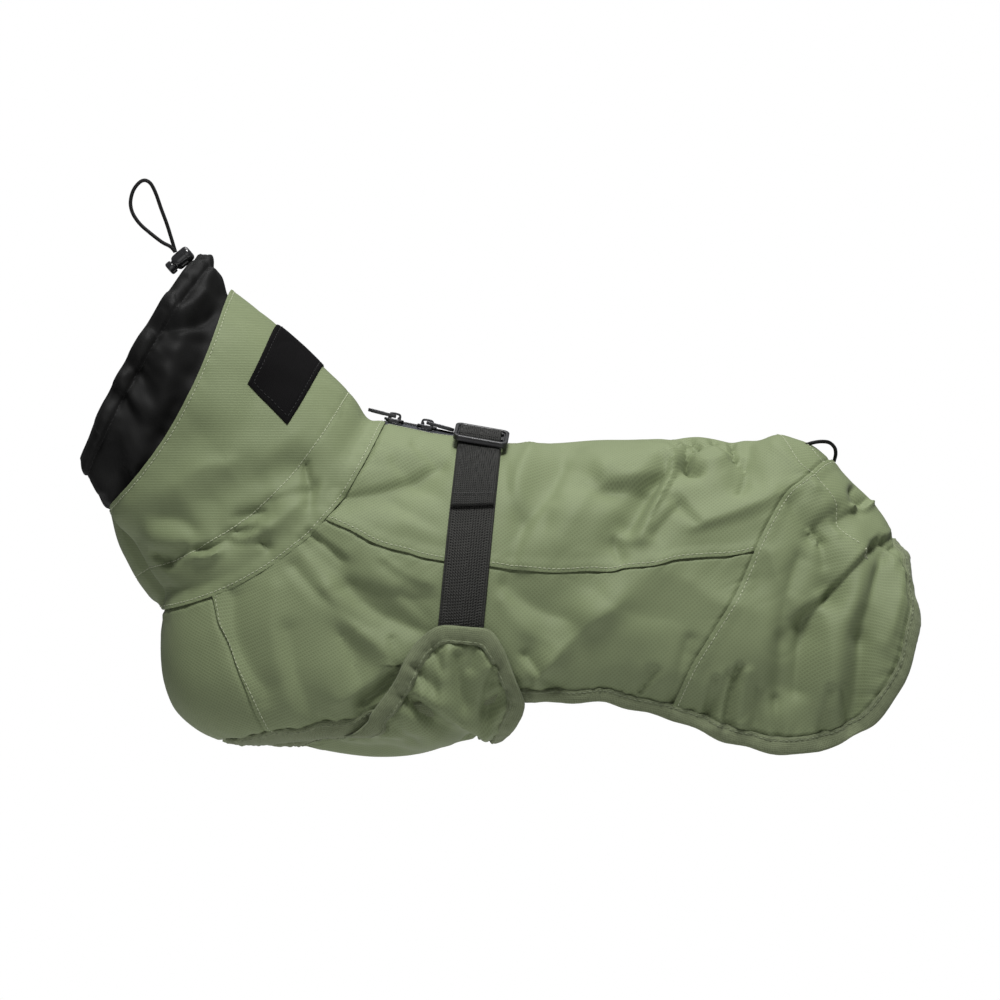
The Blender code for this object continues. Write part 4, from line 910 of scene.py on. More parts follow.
def belly_edge(front, side, rear):
    return path([under_place(*row) for row in front] + side_path(side)
                + [under_place(*row) for row in rear])


belly_outer = belly_edge([(s, out) for s, out, _ in BELLY_FRONT],
                         [row[:2] for row in BELLY_SIDE], [row[:2] for row in BELLY_REAR])
belly_inner = belly_edge([(s, into) for s, _, into in BELLY_FRONT],
                         [row[2:] for row in BELLY_SIDE], [row[2:] for row in BELLY_REAR])
BELLY_STOPS = (0, len(BELLY_FRONT) + WING_CORNER_ROW,
               len(BELLY_FRONT) + len(BELLY_SIDE) + len(BELLY_REAR) - 1)


def belly_lift(s, phi):
    """Height of the belly panel: it rises along its strip and is raised all over its wings."""
    strip = smooth((s - LIFT_START) / LIFT_RUN)
    aside = math.pi - np.abs(phi)
    wing = smooth((aside - WING_START) / WING_RUN)
    curl = smooth((aside - 0.15) / 0.25) * (1 - wing) * (1 - smooth((s - 8.8) / 0.5))
    return BELLY_LIFT * (1 - (1 - strip) * (1 - wing)) - EDGE_CURL * curl


# ---------------------------------------------------------------- meshes

def finish_object(name, mesh, material, slot, replaced=(), body="jacket", sharp=50):
    mesh.materials.append(material)
    mesh.shade_smooth()
    mesh.set_sharp_from_angle(angle=math.radians(sharp))
    made = linked(name, mesh)
    if replaced:
        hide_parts(*replaced)
    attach(made, body)
    return made


def mesh_of(name, points, faces, corner_uv):
    """Mesh in metres from quads, with the cloth's own millimetre coordinates as its UVs."""
    mesh = bpy.data.meshes.new(name)
    count = len(faces)
    mesh.vertices.add(len(points))
    mesh.vertices.foreach_set("co", (np.asarray(points) * MM).ravel())
    mesh.loops.add(count * 4)
    mesh.loops.foreach_set("vertex_index", np.asarray(faces).ravel().astype(np.int32))
    mesh.polygons.add(count)
    mesh.polygons.foreach_set("loop_start", np.arange(0, count * 4, 4, dtype=np.int32))
    mesh.polygons.foreach_set("loop_total", np.full(count, 4, dtype=np.int32))
    layer = mesh.uv_layers.new(name="cloth")
    layer.data.foreach_set("uv", np.asarray(corner_uv, float).ravel())
    mesh.update(calc_edges=True)
    mesh.validate()
    return mesh


def grid_quads(rows, columns, closed, keep=None):
    """Corner numbers of a grid's cells and of their UV corners."""
    across = columns if closed else columns - 1
    i, j = np.meshgrid(np.arange(rows - 1), np.arange(across), indexing='ij')
    if keep is not None:
        i, j = i[keep], j[keep]
    i, j = i.ravel(), j.ravel()
    after = (j + 1) % columns
    quads = np.stack((i * columns + j, i * columns + after,
                      (i + 1) * columns + after, (i + 1) * columns + j), axis=1)
    wide = columns + 1
    corners = np.stack((i * wide + j, i * wide + j + 1,
                        (i + 1) * wide + j + 1, (i + 1) * wide + j), axis=1)
    return quads, corners


def cloth_uv(points, closed):
    """Arc lengths along a grid's rows and columns, with one more column where it closes."""
    if closed:
        points = np.concatenate((points, points[:, :1]), axis=1)
    u, v = lengths_across(points), lengths(points)
    grid = np.stack((u - u[:, u.shape[1] // 2][:, None], v), axis=-1)
    if not closed:
        grid = np.concatenate((grid, grid[:, -1:]), axis=1)
    return grid.reshape(-1, 2)


def girth(s, phi):
    """Length round the body from the spine to a place, for laying the cloth's threads."""
    rows, columns = 69, 240
    table = lengths_across(base_point(*np.meshgrid(
        np.linspace(0, LAST, rows + 1), np.linspace(0, 2 * math.pi, columns + 1), indexing='ij')))
    row = (s / LAST * rows).clip(0, rows - 0.001)
    column = (np.abs(phi) / (2 * math.pi) * columns).clip(0, columns - 0.001)
    i, j = row.astype(int), column.astype(int)
    u, v = row - i, column - j
    value = (table[i, j] * (1 - u) * (1 - v) + table[i + 1, j] * u * (1 - v)
             + table[i, j + 1] * (1 - u) * v + table[i + 1, j + 1] * u * v)
    return value * np.sign(phi)


def outward(points, quad, inside):
    """Whether a quad's corners run so that it faces away from a point behind it."""
    corner = points[quad[0]]
    across = np.cross(points[quad[1]] - corner, points[quad[3]] - corner)
    return across.dot(corner - inside) >= 0


def wall_mesh(name, outer, inner, closed=False, keep=None, laid=None):
    """Closed shell between two grids; laid holds two cloth coordinates for each point."""
    rows, columns = outer.shape[:2]
    count = rows * columns
    quads, corners = grid_quads(rows, columns, closed, keep)
    uv = cloth_uv(outer, closed) if laid is None else laid.reshape(-1, 2)
    starts, ends = quads.ravel(), np.roll(quads, -1, axis=1).ravel()
    open_edge = ~np.isin(starts * count + ends, ends * count + starts)
    starts, ends = starts[open_edge], ends[open_edge]
    first, second = corners.ravel()[open_edge], np.roll(corners, -1, axis=1).ravel()[open_edge]
    rim = np.stack((ends, starts, starts + count, ends + count), axis=1)
    rim_corners = np.stack((second, first, first, second), axis=1)
    faces = np.concatenate((quads, quads[:, ::-1] + count, rim))
    corner_uv = np.concatenate((uv[corners], uv[corners[:, ::-1]], uv[rim_corners]))
    points = np.concatenate((outer.reshape(-1, 3), inner.reshape(-1, 3)))
    middle = quads[len(quads) // 2]
    if not outward(points, middle, points[middle[0] + count]):
        faces, corner_uv = faces[:, ::-1], corner_uv[:, ::-1]
    used, numbers = np.unique(faces, return_inverse=True)
    return mesh_of(name, points[used], numbers.reshape(faces.shape), corner_uv)


def tube_mesh(name, rings):
    """Closed tube through rings of points, with flat ends made of strips."""
    rings = np.asarray(rings, float)
    count, around = rings.shape[:2]
    centres = rings.mean(axis=1)
    shrink = [centres[e][None] + (rings[e] - centres[e]) * 0.02 for e in (0, -1)]
    full = np.concatenate((shrink[0][None], rings, shrink[1][None]))
    quads, corners = grid_quads(count + 2, around, True)
    points = full.reshape(-1, 3)
    mesh = mesh_of(name, points, quads, cloth_uv(full, True)[corners])
    if not outward(points, quads[(count // 2) * around], centres[count // 2]):
        mesh.flip_normals()
    return mesh


SIDES = ("first_row", "last_row", "first_col", "last_col")


def oriented(array, side):
    """The grid turned so that the named border is its first row."""
    array = array.swapaxes(0, 1) if side.endswith("col") else array
    return array[::-1] if side.startswith("last") else array


def restored(array, side):
    """The turned grid as it was."""
    array = array[::-1] if side.startswith("last") else array
    return array.swapaxes(0, 1) if side.endswith("col") else array


def extended(s, phi, side, distance):
    """One more row past a border, at a distance from it."""
    s, phi = oriented(s, side), oriented(phi, side)
    points = base_point(s[:2], phi[:2])
    share = distance / np.maximum(np.linalg.norm(points[1] - points[0], axis=-1), 0.05)
    return [restored(np.concatenate(((grid[0] - (grid[1] - grid[0]) * share)[None], grid)), side)
            for grid in (s, phi)]


def border(points, side, skip):
    """Arc length along a border and distance from it, over the whole grid."""
    grid = oriented(points, side)
    distance = lengths(grid) - skip
    along = np.broadcast_to(lengths(grid[0]), distance.shape)
    return restored(along, side), restored(distance, side)


def puckers(along, distance, seed, amount, spacing=(6.0, 13.0), reach=(5.0, 13.0)):
    """Short gathers that run in from a border, uneven in place, size and slant."""
    random = np.random.default_rng(seed)
    height = np.zeros_like(along)
    place = random.uniform(0, spacing[1])
    end = along.max()
    while place < end:
        width = random.uniform(1.3, 2.9)
        depth = amount * random.uniform(0.4, 1.0) * (1 if random.random() < 0.8 else -0.7)
        slant = random.uniform(-0.5, 0.5)
        run = random.uniform(*reach)
        inward = np.maximum(distance, 0)
        aside = (along - place - slant * inward) / (width + 0.12 * inward)
        height -= depth * np.exp(-aside ** 2 - (inward / run) ** 1.6)
        place += random.uniform(*spacing)
    return height


PANELS = {}
# How each kind of border lies: reach past the seam, welt height, step down.
BORDERS = {"over": (OVER, WELT, 0.0), "flat": (OVER, 0.3, 0.0), "under": (UNDER, 0.0, 1.0),
           "rim": (0.0, 0.0, 0.0)}
STITCH_DENT = 0.14


def panel(name, s, phi, borders, material, seed, replaced, lift=None, wing=False, closed=False,
          keep=None, extra=None):
    """Cloth piece on the master surface with its laps, seams and gathers.

    borders has a row for each side, in the order of SIDES: kind, stitch distance, gathers' depth.
    """
    borders = dict(zip(SIDES, borders))
    for side, (kind, _, _) in borders.items():
        if BORDERS[kind][0]:
            s, phi = extended(s, phi, side, BORDERS[kind][0])
    base, out = base_point(s, phi), base_normal(s, phi)
    height = relief(s, phi, base, wing)
    if lift is not None:
        height = height + lift(s, phi)
    edges = {}
    for number, (side, (kind, stitched, gather)) in enumerate(borders.items()):
        past, welt, down = BORDERS[kind]
        along, distance = border(base, side, past)
        edges[side] = distance
        height = height + welt * (1 - smooth((distance - 1.5) / 7.0))
        height -= down * (1 - smooth(distance / 3.2))
        if stitched:
            height -= STITCH_DENT * bell(distance - stitched, 0.8)
            height += puckers(along, np.abs(distance - stitched), seed * 10 + number, 0.30,
                              (5.0, 11.0), (2.0, 6.0))
        if kind == "over":
            height -= 0.2 * smooth((0.3 - distance) / 0.6)
        if kind == "rim":
            height += 0.35 * bell(distance - 0.8, 0.9)
        if gather:
            height += puckers(along, distance, seed * 10 + 5 + number, gather)
    if extra is not None:
        height = height + extra(s, phi, base)
    outer = base + out * (height + CLOTH)[..., None]
    inner = base + out * (height + CLOTH - SHELL)[..., None]
    # the threads lie level on the collar, and along and round the body elsewhere
    laid = None
    if material is UPPER:
        laid = cloth_uv(outer, closed).reshape(len(outer), -1, 2)
        laid[..., 1] = np.concatenate((outer[..., 2], outer[:, :1, 2]), axis=1)
    elif name != "chest_shell":
        laid = np.stack((base[..., 0], girth(s, phi)), axis=-1)
        laid = np.concatenate((laid, laid[:, -1:]), axis=1)
    PANELS[name] = (outer, out, edges, s)
    return finish_object(name, wall_mesh(name, outer, inner, closed, keep, laid), material,
                         "sage_cloth", (replaced,))


# ---------------------------------------------------------------- cords first

def smooth_route(route, pitch):
    """Even points on a smooth curve through a route, in millimetres."""
    route = np.asarray(route, float)
    dense = cubic(route, np.linspace(0, len(route) - 1, 60 * len(route)))
    along = lengths(dense)
    wanted = np.linspace(0, along[-1], round(along[-1] / pitch) + 1)
    return interpolated(wanted, along, dense), along[-1]


def tube_along(points, radius, around):
    """Rings round a line of points, with frames carried along it."""
    forward = unit(np.gradient(points, axis=0))
    side = unit(np.cross(forward[0], (0.13, 0.31, 0.94)))
    angles = turns(around)
    rings = []
    for place, ahead in zip(points, forward):
        side = unit(side - ahead * side.dot(ahead))
        third = np.cross(ahead, side)
        rings.append(place + radius * (np.cos(angles)[:, None] * side
                                       + np.sin(angles)[:, None] * third))
    return np.array(rings)


def free_cord(node_name, route):
    """Braided elastic cord as a mesh tube."""
    around, braid_pitch, braid_depth = 20, 2.4, 0.055
    points, length = smooth_route(route, 0.45)
    phase = np.linspace(0, length / braid_pitch * 2 * math.pi, len(points))[:, None]
    rings = tube_along(points, CORD_DIAMETER / 2, around)
    angles = turns(around)[None]
    braid = braid_depth * (np.cos(3 * angles + phase) * np.cos(3 * angles - phase))
    centres = points[:, None]
    rings = centres + (rings - centres) * (1 + braid[..., None])
    name = node_name + "_braid"
    made = finish_object(name, tube_mesh(name, rings), CORD, "black_cord", (node_name,))
    coarse, _ = smooth_route(route, 2.5)
    [tuple(p) for p in coarse * MM]


free_cord("snood_cord", SNOOD_CORD_ROUTE)
free_cord("tail_loop", TAIL_LOOP_ROUTE)


# ---------------------------------------------------------------- stitches

STITCHES = {}
# A stitch along its thread: share of its length, share of its radius, height over the cloth.
STITCH_PROFILE = ((-0.5, 0.25, -0.30), (-0.34, 0.95, 0.05), (0.34, 0.95, 0.05), (0.5, 0.25, -0.30))


def level_line(outer, out, field, level):
    """Points and normals on a grid where a field that grows down its columns is at a level."""
    row = np.argmax(field >= level, axis=0).clip(1)
    column = np.arange(field.shape[1])
    low, high = field[row - 1, column], field[row, column]
    share = ((level - low) / np.maximum(high - low, 1e-6)).clip(0, 1)[:, None]
    points, normals = (grid[row - 1, column] * (1 - share) + grid[row, column] * share
                       for grid in (outer, out))
    return points, unit(normals)


def line_at(name, side, distance):
    """Points and normals on a panel's face, at a distance from one of its borders."""
    outer, out, edges, _ = PANELS[name]
    return level_line(*(oriented(grid, side) for grid in (outer, out, edges[side])), distance)


def seated(points, normals, names):
    """The same points, moved along their normals onto the faces of panels."""
    faces = np.concatenate([PANELS[name][0].reshape(-1, 3) for name in names])
    tree = KDTree(len(faces))
    for number, place in enumerate(faces):
        tree.insert(place, number)
    tree.balance()
    moved = points.copy()
    for _ in range(2):
        for number, (place, up) in enumerate(zip(moved, normals)):
            near = tree.find_n(place, 5)
            weight = np.array([1 / (far + 0.05) for _, _, far in near])
            rise = np.array([(faces[index] - place).dot(up) for _, index, _ in near])
            moved[number] = place + up * (rise * weight).sum() / weight.sum()
    return moved


def stitch(group, points, normals, pitch=2.5, length=1.9, radius=0.24, start=0.0, end=0.0,
           seed=1):
    """Row of short thread capsules that dip into the cloth at both ends."""
    random = np.random.default_rng(seed)
    along = lengths(points)
    count = int((along[-1] - start - end) / pitch)
    if count < 1:
        return
    middle = start + (np.arange(count) + 0.5) * pitch
    angles = turns(6)[None, :, None]
    rings = []
    for share, size, rise in STITCH_PROFILE:
        at = middle + share * length
        up = unit(interpolated(at, along, normals))
        ahead = interpolated(at + 0.5, along, points) - interpolated(at - 0.5, along, points)
        across = unit(np.cross(up, unit(ahead)))
        jitter = random.normal(scale=0.07, size=(count, 1))
        centre = interpolated(at, along, points) + up * (rise + 0.12) + across * jitter
        rings.append(centre[:, None] + radius * size * (np.cos(angles) * across[:, None]
                                                        + np.sin(angles) * up[:, None]))
    STITCHES.setdefault(group, []).append(np.stack(rings, axis=1))


def sew(group, material, slot):
    """One mesh of all the stitches of a group."""
    threads = np.concatenate(STITCHES[group])
    count, rings, around = threads.shape[:3]
    quads, corners = grid_quads(rings, around, True)
    each = rings * around
    faces = (quads[None] + (np.arange(count) * each)[:, None, None]).reshape(-1, 4)
    u, v = np.meshgrid(np.linspace(0, 1.6, around + 1), np.linspace(0, 2.4, rings))
    uv = np.stack((u, v), axis=-1).reshape(-1, 2)
    corner_uv = np.broadcast_to(uv[corners], (count,) + uv[corners].shape).reshape(-1, 4, 2)
    mesh = mesh_of(group, threads.reshape(-1, 3), faces, corner_uv)
    finish_object(group, mesh, material, slot)


# ---------------------------------------------------------------- panels

def collar():
    line_rows, line_reach, least_step = 13, 0.16, 0.012
    levels = np.linspace(0, COLLAR_SEAM, 200)
    front = lengths(base_point(levels, np.full(200, 1.6)))
    rows = np.interp(steps(front[-1]) * front[-1], front, levels)
    # finer rows beside the stitched line
    rows = np.unique(np.concatenate((rows, COLLAR_LINE + np.linspace(-line_reach, line_reach,
                                                                     line_rows))))
    rows = rows[np.concatenate(([True], np.diff(rows) > least_step))]
    s, phi = np.meshgrid(rows, turns(280), indexing='ij')

    def gathers(s, phi, base):
        along = np.broadcast_to(lengths_across(base)[0][None], s.shape)
        away = lengths(base)
        line = np.array([np.interp(COLLAR_LINE, s[:, 0], away[:, j]) for j in range(s.shape[1])])
        near_front = 0.35 + 0.65 * smooth((np.abs(phi - math.pi) - 0.2) / 0.5)
        return puckers(along, np.abs(away - line), 71, 0.45, (9, 19), (3.0, 8.0)) * near_front
    made = panel("collar_shell", s, phi, (("rim", 2.3, 0.25), ("over", 1.5, 0.45)), UPPER, 3,
                 "collar", closed=True, extra=gathers)
    for side, distance, seed in (("last_row", 1.5, 5), ("first_row", 2.3, 7)):
        points, normals = line_at("collar_shell", side, distance)
        points, normals = (np.vstack((line, line[:1])) for line in (points, normals))
        stitch("collar_stitches", points, normals, seed=seed)
    outer, out, _, s = PANELS["collar_shell"]
    stitch("collar_stitches", *level_line(outer, out, s, COLLAR_LINE), length=2.2, seed=8)


def back_panel():
    edge = path([top_place(s, ZIP_NOTCH) for s in (COLLAR_SEAM, 6.5, ZIP_END, 12.5)]
                + [tuple(tail_seam[0])])
    s, phi = patch(edge, side_seam, collar_back, tail_seam, steps(measure(side_seam)[-1]),
                   steps(measure(collar_back)[-1]))
    notch = int(np.argmin(np.abs(s[0] - ZIP_END)))
    s[0, notch] = ZIP_END
    spine = s[0].copy()
    spine[-1] = TAIL_SEAM
    shares = np.array((0.2, 0.4, 0.6, 0.8, 1.0))[:, None]
    half_s = np.concatenate((s[::-1], s[0] * (1 - shares) + spine * shares))
    half_phi = np.concatenate((phi[::-1], phi[0] * (1 - shares)))
    s, phi = mirrored(half_s, half_phi, 0.0)
    keep = np.ones((s.shape[0] + 1, s.shape[1] + 1), bool)
    cells = len(shares)
    edge_row = len(half_s) - cells
    keep[edge_row:edge_row + 2 * cells, :notch + 1] = False

    def beside_zip(s, phi, base):
        aside = np.abs(base[..., 1]) - ZIP_NOTCH
        inside = smooth((ZIP_END + 0.5 - s) / 0.5) * (np.abs(phi) < 1.2)
        return (0.25 * (1 - smooth((aside - 2.0) / 2.0)) - 0.15 * bell(aside - 2.0, 0.7)) * inside
    made = panel("back_shell", s, phi, (("over", 1.7, 0.30), ("over", 1.7, 0.30),
                                        ("under", 0, 0.55), ("under", 0, 0.6)),
                 BODY, 11, "back_panel", extra=beside_zip, keep=keep)
    for side, seed in (("first_row", 12), ("last_row", 13)):
        stitch("body_stitches", *line_at("back_shell", side, 1.7), seed=seed, start=2, end=2)
    at = np.linspace(COLLAR_SEAM + 0.1, ZIP_END + 0.05, 300)
    angles = np.array([top_place(x, ZIP_NOTCH + 2.0)[1] for x in at])
    for side in (1, -1):
        points, normals = surface(at, side * angles, CLOTH)
        stitch("body_stitches", seated(points, normals, ["back_shell"]), normals, seed=14 + side)


def side_panel(side):
    front = join(collar_side, chest_seam)
    u, v = (steps(measure(line)[-1], finer=0.9) for line in (side_seam, front))
    s, phi = relaxed(*patch(side_seam, hem_part(1), front, rear_seam_low, u, v), 150)
    label = "left" if side > 0 else "right"
    name = "side_shell_" + label
    made = panel(name, s, side * phi, (("under", 0, 0.45), ("under", 0, 1.0), ("flat", 0, 0.12),
                                       ("under", 0, 0.45)),
                 BODY, 21 if side > 0 else 22, "side_panel_" + label)
    points, normals = line_at(name, "first_col", 1.9)
    along = lengths(points)
    below = along > 0.47 * along[-1]
    stitch("body_stitches", points[below], normals[below], seed=23)


def chest_panel():
    front = path([(COLLAR_SEAM, math.pi), (FRONT_HEM, math.pi)])
    bottom = join(hem_part(0)[::-1], path([front_places[0], (FRONT_HEM, math.pi)]))
    s, phi = patch(collar_front, bottom, chest_seam, front,
                   steps(measure(collar_front)[-1], end=False), steps(measure(chest_seam)[-1]))
    s, phi = mirrored(s.T, phi.T, math.pi)
    made = panel("chest_shell", s, phi, (("under", 0, 0.12), ("under", 0, 0.12),
                                         ("under", 0, 0.5), ("under", 0, 0.7)),
                 BODY, 31, "chest_panel")


def rear_panel():
    seam = join(np.array([(TAIL_SEAM, 0.0), tail_seam[0]]), tail_seam, rear_seam_low)
    spine = path([(TAIL_SEAM, 0.0), rear_places[-1]])
    s, phi = patch(spine, hem_part(2), seam, hem_part(3)[::-1],
                   steps(measure(hem_part(2))[-1], finer=0.78),
                   steps(measure(seam)[-1], start=False, finer=0.78))
    s, phi = mirrored(s[::-1], phi[::-1], 0.0)
    made = panel("rear_shell", s, phi, (("under", 0, 1.0), ("under", 0, 1.0),
                                        ("over", 1.9, 0.4), ("under", 0, 0.8)),
                 BODY, 41, "rear_panel")
    stitch("body_stitches", *line_at("rear_shell", "first_col", 1.9), seed=42, start=2, end=2)


def belly_panel():
    middle, front = (path([(FRONT_HEM, math.pi), tuple(belly_inner[e])]) for e in (-1, 0))
    low, high = (rows_of(belly_inner, *BELLY_STOPS[k:k + 2]) for k in (0, 1))
    s, phi = patch(middle, low, front, high[::-1], steps(measure(low)[-1]),
                   steps(measure(high)[-1], start=False))
    s, phi = mirrored(s[::-1], phi[::-1], math.pi)
    made = panel("belly_shell", s, phi, (("under", 0, 2.3), ("under", 0, 2.3),
                                         ("over", 0, 0.3), ("under", 0, 2.3)),
                 BODY, 51, "belly_panel", wing=True,
                 lift=lambda s, phi: belly_lift(s, math.pi - np.abs(math.pi - phi)))


# ---------------------------------------------------------------- bindings

# The folded tape's section: share of its width, height over the master surface.
TAPE = ((0.0, 1.55), (0.03, 2.0), (0.08, 2.28), (0.14, 2.22), (0.20, 2.15), (0.28, 2.35),
        (0.40, 2.6), (0.55, 2.72), (0.70, 2.66), (0.82, 2.45), (0.92, 2.05), (0.985, 1.5),
        (1.0, 0.9), (0.985, 0.35), (0.92, -0.1), (0.75, -0.35), (0.45, -0.35), (0.15, -0.1),
        (0.04, 0.1), (0.0, 0.5))
STITCHED_POINT = 3        # of the section


def binding(name, node_name, inner, outer, side, lift, seed, gather):
    """Folded tape gathered over a cut edge: puffed outside, dented by its row of stitches."""
    random = np.random.default_rng(seed)
    length = measure(inner)[-1]
    shares = np.linspace(0, 1, round(length / (1.2)) + 1)
    first, second = spread(inner, shares), spread(inner, shares, outer)
    along = shares * length
    width = np.linalg.norm(base_point(*first.T) - base_point(*second.T), axis=1)[:, None]
    share, high = np.array(TAPE).T[:, None]
    pull, puff = np.zeros((2, len(along), len(TAPE)))
    place = random.uniform(0, 4)
    while place < length:
        size = random.uniform(1.6, 3.4)
        depth = gather * random.uniform(0.45, 1.0)
        slant = random.uniform(-2.5, 2.5)
        reach = random.uniform(0.35, 1.3)
        aside = (along[:, None] - place - slant * (share - 0.15)) / size
        puff -= depth * np.exp(-aside ** 2) * bell(np.maximum(share - 0.15, 0), reach)
        pull += 0.9 * depth * np.exp(-aside ** 2) * bell(share, 0.25)
        place += random.uniform(3.2, 8.5)
    wobble = np.zeros(len(along))
    for _ in range(8):
        wobble += np.cos(along / random.uniform(4, 16) + random.uniform(0, 6.3))
    lean = (0.22 * wobble)[:, None]
    top = high > 0.9
    where = (share + (pull + lean * 0.5) / width * (share < 0.5) * top
             + lean * 0.9 / width * (share > 0.85))
    s, phi = (first[:, k:k + 1] * (1 - where) + second[:, k:k + 1] * where for k in (0, 1))
    s = s.clip(0, LAST)
    puff = puff * top * np.where(share > 0.9, 0.4, 1.0)
    body = high + puff + 0.12 * waves(base_point(s, phi), 2.2, seed + 3, 10) * top
    raised = lift(s, phi) if lift else 0.0
    points, normals = surface(s, side * phi, body + raised, wing=bool(lift))
    made = finish_object(name, tube_mesh(name, points[:, ::-1]), EDGING, "sage_binding",
                         (node_name,), sharp=70)
    stitch("binding_stitches", points[:, STITCHED_POINT], normals[:, STITCHED_POINT], pitch=2.9,
           length=2.1, radius=0.25, seed=seed + 1, start=1, end=1)


def bindings():
    for number, (side, label) in enumerate(((1, "left"), (-1, "right"))):
        binding("hem_tape_" + label, "hem_binding_" + label, hem_inner, hem_outer, side, None,
                61 + number, 0.95)
        binding("belly_tape_" + label, "belly_binding_" + label, belly_inner, belly_outer, side,
                belly_lift, 63 + number, 1.0)


# ---------------------------------------------------------------- snood

# Folds of the gathered tube, in the columns of the jacket's folds.
SNOOD_FOLDS = (
    (-147, 97, -141, 86, 1, 4, 5, -2.2, 0.9),
    (-140, 86, -135, 75, 0, 4, 4, -2.0, 0.8),
    (-169, 68, -148, 78, 2, 5, 4, -1.7, 1.0),
    (-165, 60, -144, 68, 1, 3, 3, 1.5, 1.0),
    (-178, 38, -196, -15, 3, 8, 9, 2.4, 0.8),
    (-160, 56, -170, 20, -2, 7, 6, -1.5, 1.0),
    (-160, 20, -174, -18, 1, 6, 7, 1.6, 1.1),
    (-209, -8, -201, -22, 1, 4, 4, -1.8, 1.0),
    (-198, -24, -189, -42, -1, 5, 5, -1.9, 0.9),
    (-190, -20, -178, -44, 1, 4, 5, 1.5, 1.0),
)
TUNNEL = 11.5            # distance of the cord tunnel's stitched line from the mouth


def snood():
    """Gathered tube from inside the collar out to a rolled mouth with a cord tunnel."""
    angles = turns(340)
    uneven = angles + 0.10 * np.sin(3 * angles + 1) + 0.05 * np.sin(7 * angles)
    wave = np.sin(SNOOD_WAVES * uneven) * (1 + 0.3 * np.sin(5 * angles + 2))
    sharper = np.sign(wave) * np.abs(wave) ** 0.8
    key_rings, away = [], []
    for level, height in SNOOD_INSIDE:
        s = np.full_like(angles, level)
        base, out = base_point(s, angles), base_normal(s, angles)
        key_rings.append(base + out * (height + relief(s, angles, base))[:, None])
        away.append(out)
    for *section, ripple in SNOOD_RINGS:
        ring = ring_point(*section, angles)
        out = unit(ring - ring.mean(axis=0))
        lobes = front_lobes(0.0, angles) * SNOOD_FOLLOWS
        key_rings.append(ring + out * (ripple * sharper + lobes)[:, None])
        away.append(out)
    where = np.linspace(0, len(key_rings) - 1, 84)
    points, out = cubic(key_rings, where), unit(cubic(away, where))
    along = np.broadcast_to(lengths_across(points)[-1], points.shape[:2])
    from_mouth = lengths(points[::-1])[::-1]
    # tunnel at the mouth: puffed between the rim and the stitched line, gathered by the cord
    height = 2.0 * bell(from_mouth - 5.5, 4.2) - 1.5 * bell(from_mouth - TUNNEL, 1.6)
    height += puckers(along, np.abs(from_mouth - 6), 81, 0.9, (6.0, 13.0), (6.0, 12.0))
    height += puckers(along, np.abs(from_mouth - TUNNEL), 82, 0.8, (5.0, 11.0), (3.0, 10.0))
    outside = smooth((from_mouth - 1.0) / 2) * smooth((where[:, None] - 3.4) / 1.2)
    folds = both_sides(np.moveaxis(points, -1, 0), SNOOD_FOLDS, 6.0, 5.0)
    height += (1.5 * folds + 1.1 * waves(points, 14, 83) + 0.3 * waves(points, 6, 87)
               + 0.9 * crumple(points, 17, 84, 2.6)) * outside
    points = points + out * height[..., None]
    made = finish_object("snood_tube", wall_mesh("snood_tube", points, points - out * SHELL,
                                                 closed=True), BLACK, "black_cloth", ("snood",))
    line = np.abs(from_mouth - TUNNEL).argmin(axis=0), np.arange(len(angles))
    stitch("dark_stitches", points[line], out[line], pitch=2.8, length=2.0, seed=85)


# ---------------------------------------------------------------- label

def label():
    s, phi = np.meshgrid(np.linspace(0.77, 1.51, 44),
                         np.radians(np.linspace(-58, 58, 130)), indexing='ij')
    base = base_point(s, phi)
    edges = {side: border(base, side, 0.0) for side in SIDES}
    edge = np.min([distance for _, distance in edges.values()], axis=0)
    height = 0.55 + 0.45 * smooth(edge / 0.9) - 0.25 * bell(edge - 2.4, 0.6)
    for side, seed in (("first_row", 91), ("last_row", 92)):
        height += puckers(*edges[side], seed, 0.3, (6, 12), (2, 5))
    outer, out = surface(s, phi, CLOTH + height)
    inner, _ = surface(s, phi, CLOTH + 0.1)
    made = finish_object("label_patch", wall_mesh("label_patch", outer, inner), PATCH,
                         "black_cloth", ("collar_label",))
    for side in SIDES:
        grid, away = oriented(outer, side), oriented(edges[side][1], side)
        row = np.argmax(away[:, away.shape[1] // 2] > 2.2)
        stitch("dark_stitches", grid[row], oriented(out, side)[row], pitch=2.6, length=1.9,
               radius=0.22, start=2.4, end=2.4, seed=93)


# ---------------------------------------------------------------- strap and buckle

def strap_place(angle, across):
    """Section where a line beside the strap's middle crosses an angle."""
    def before(s):
        point = base_point(s, angle)
        return point[..., 0] < strap_line(point[..., 2]) + across
    return bisected(np.zeros_like(angle), np.full_like(angle, float(LAST)), before)


STRAP_ANGLES = np.linspace(0, 2.2, 400)
STRAP_LENGTHS = lengths(base_point(strap_place(STRAP_ANGLES, 0.0), STRAP_ANGLES))


def strap_angle(distance):
    return np.interp(distance, STRAP_LENGTHS, STRAP_ANGLES)


FACE_POINTS = 49         # across the webbing's upper face


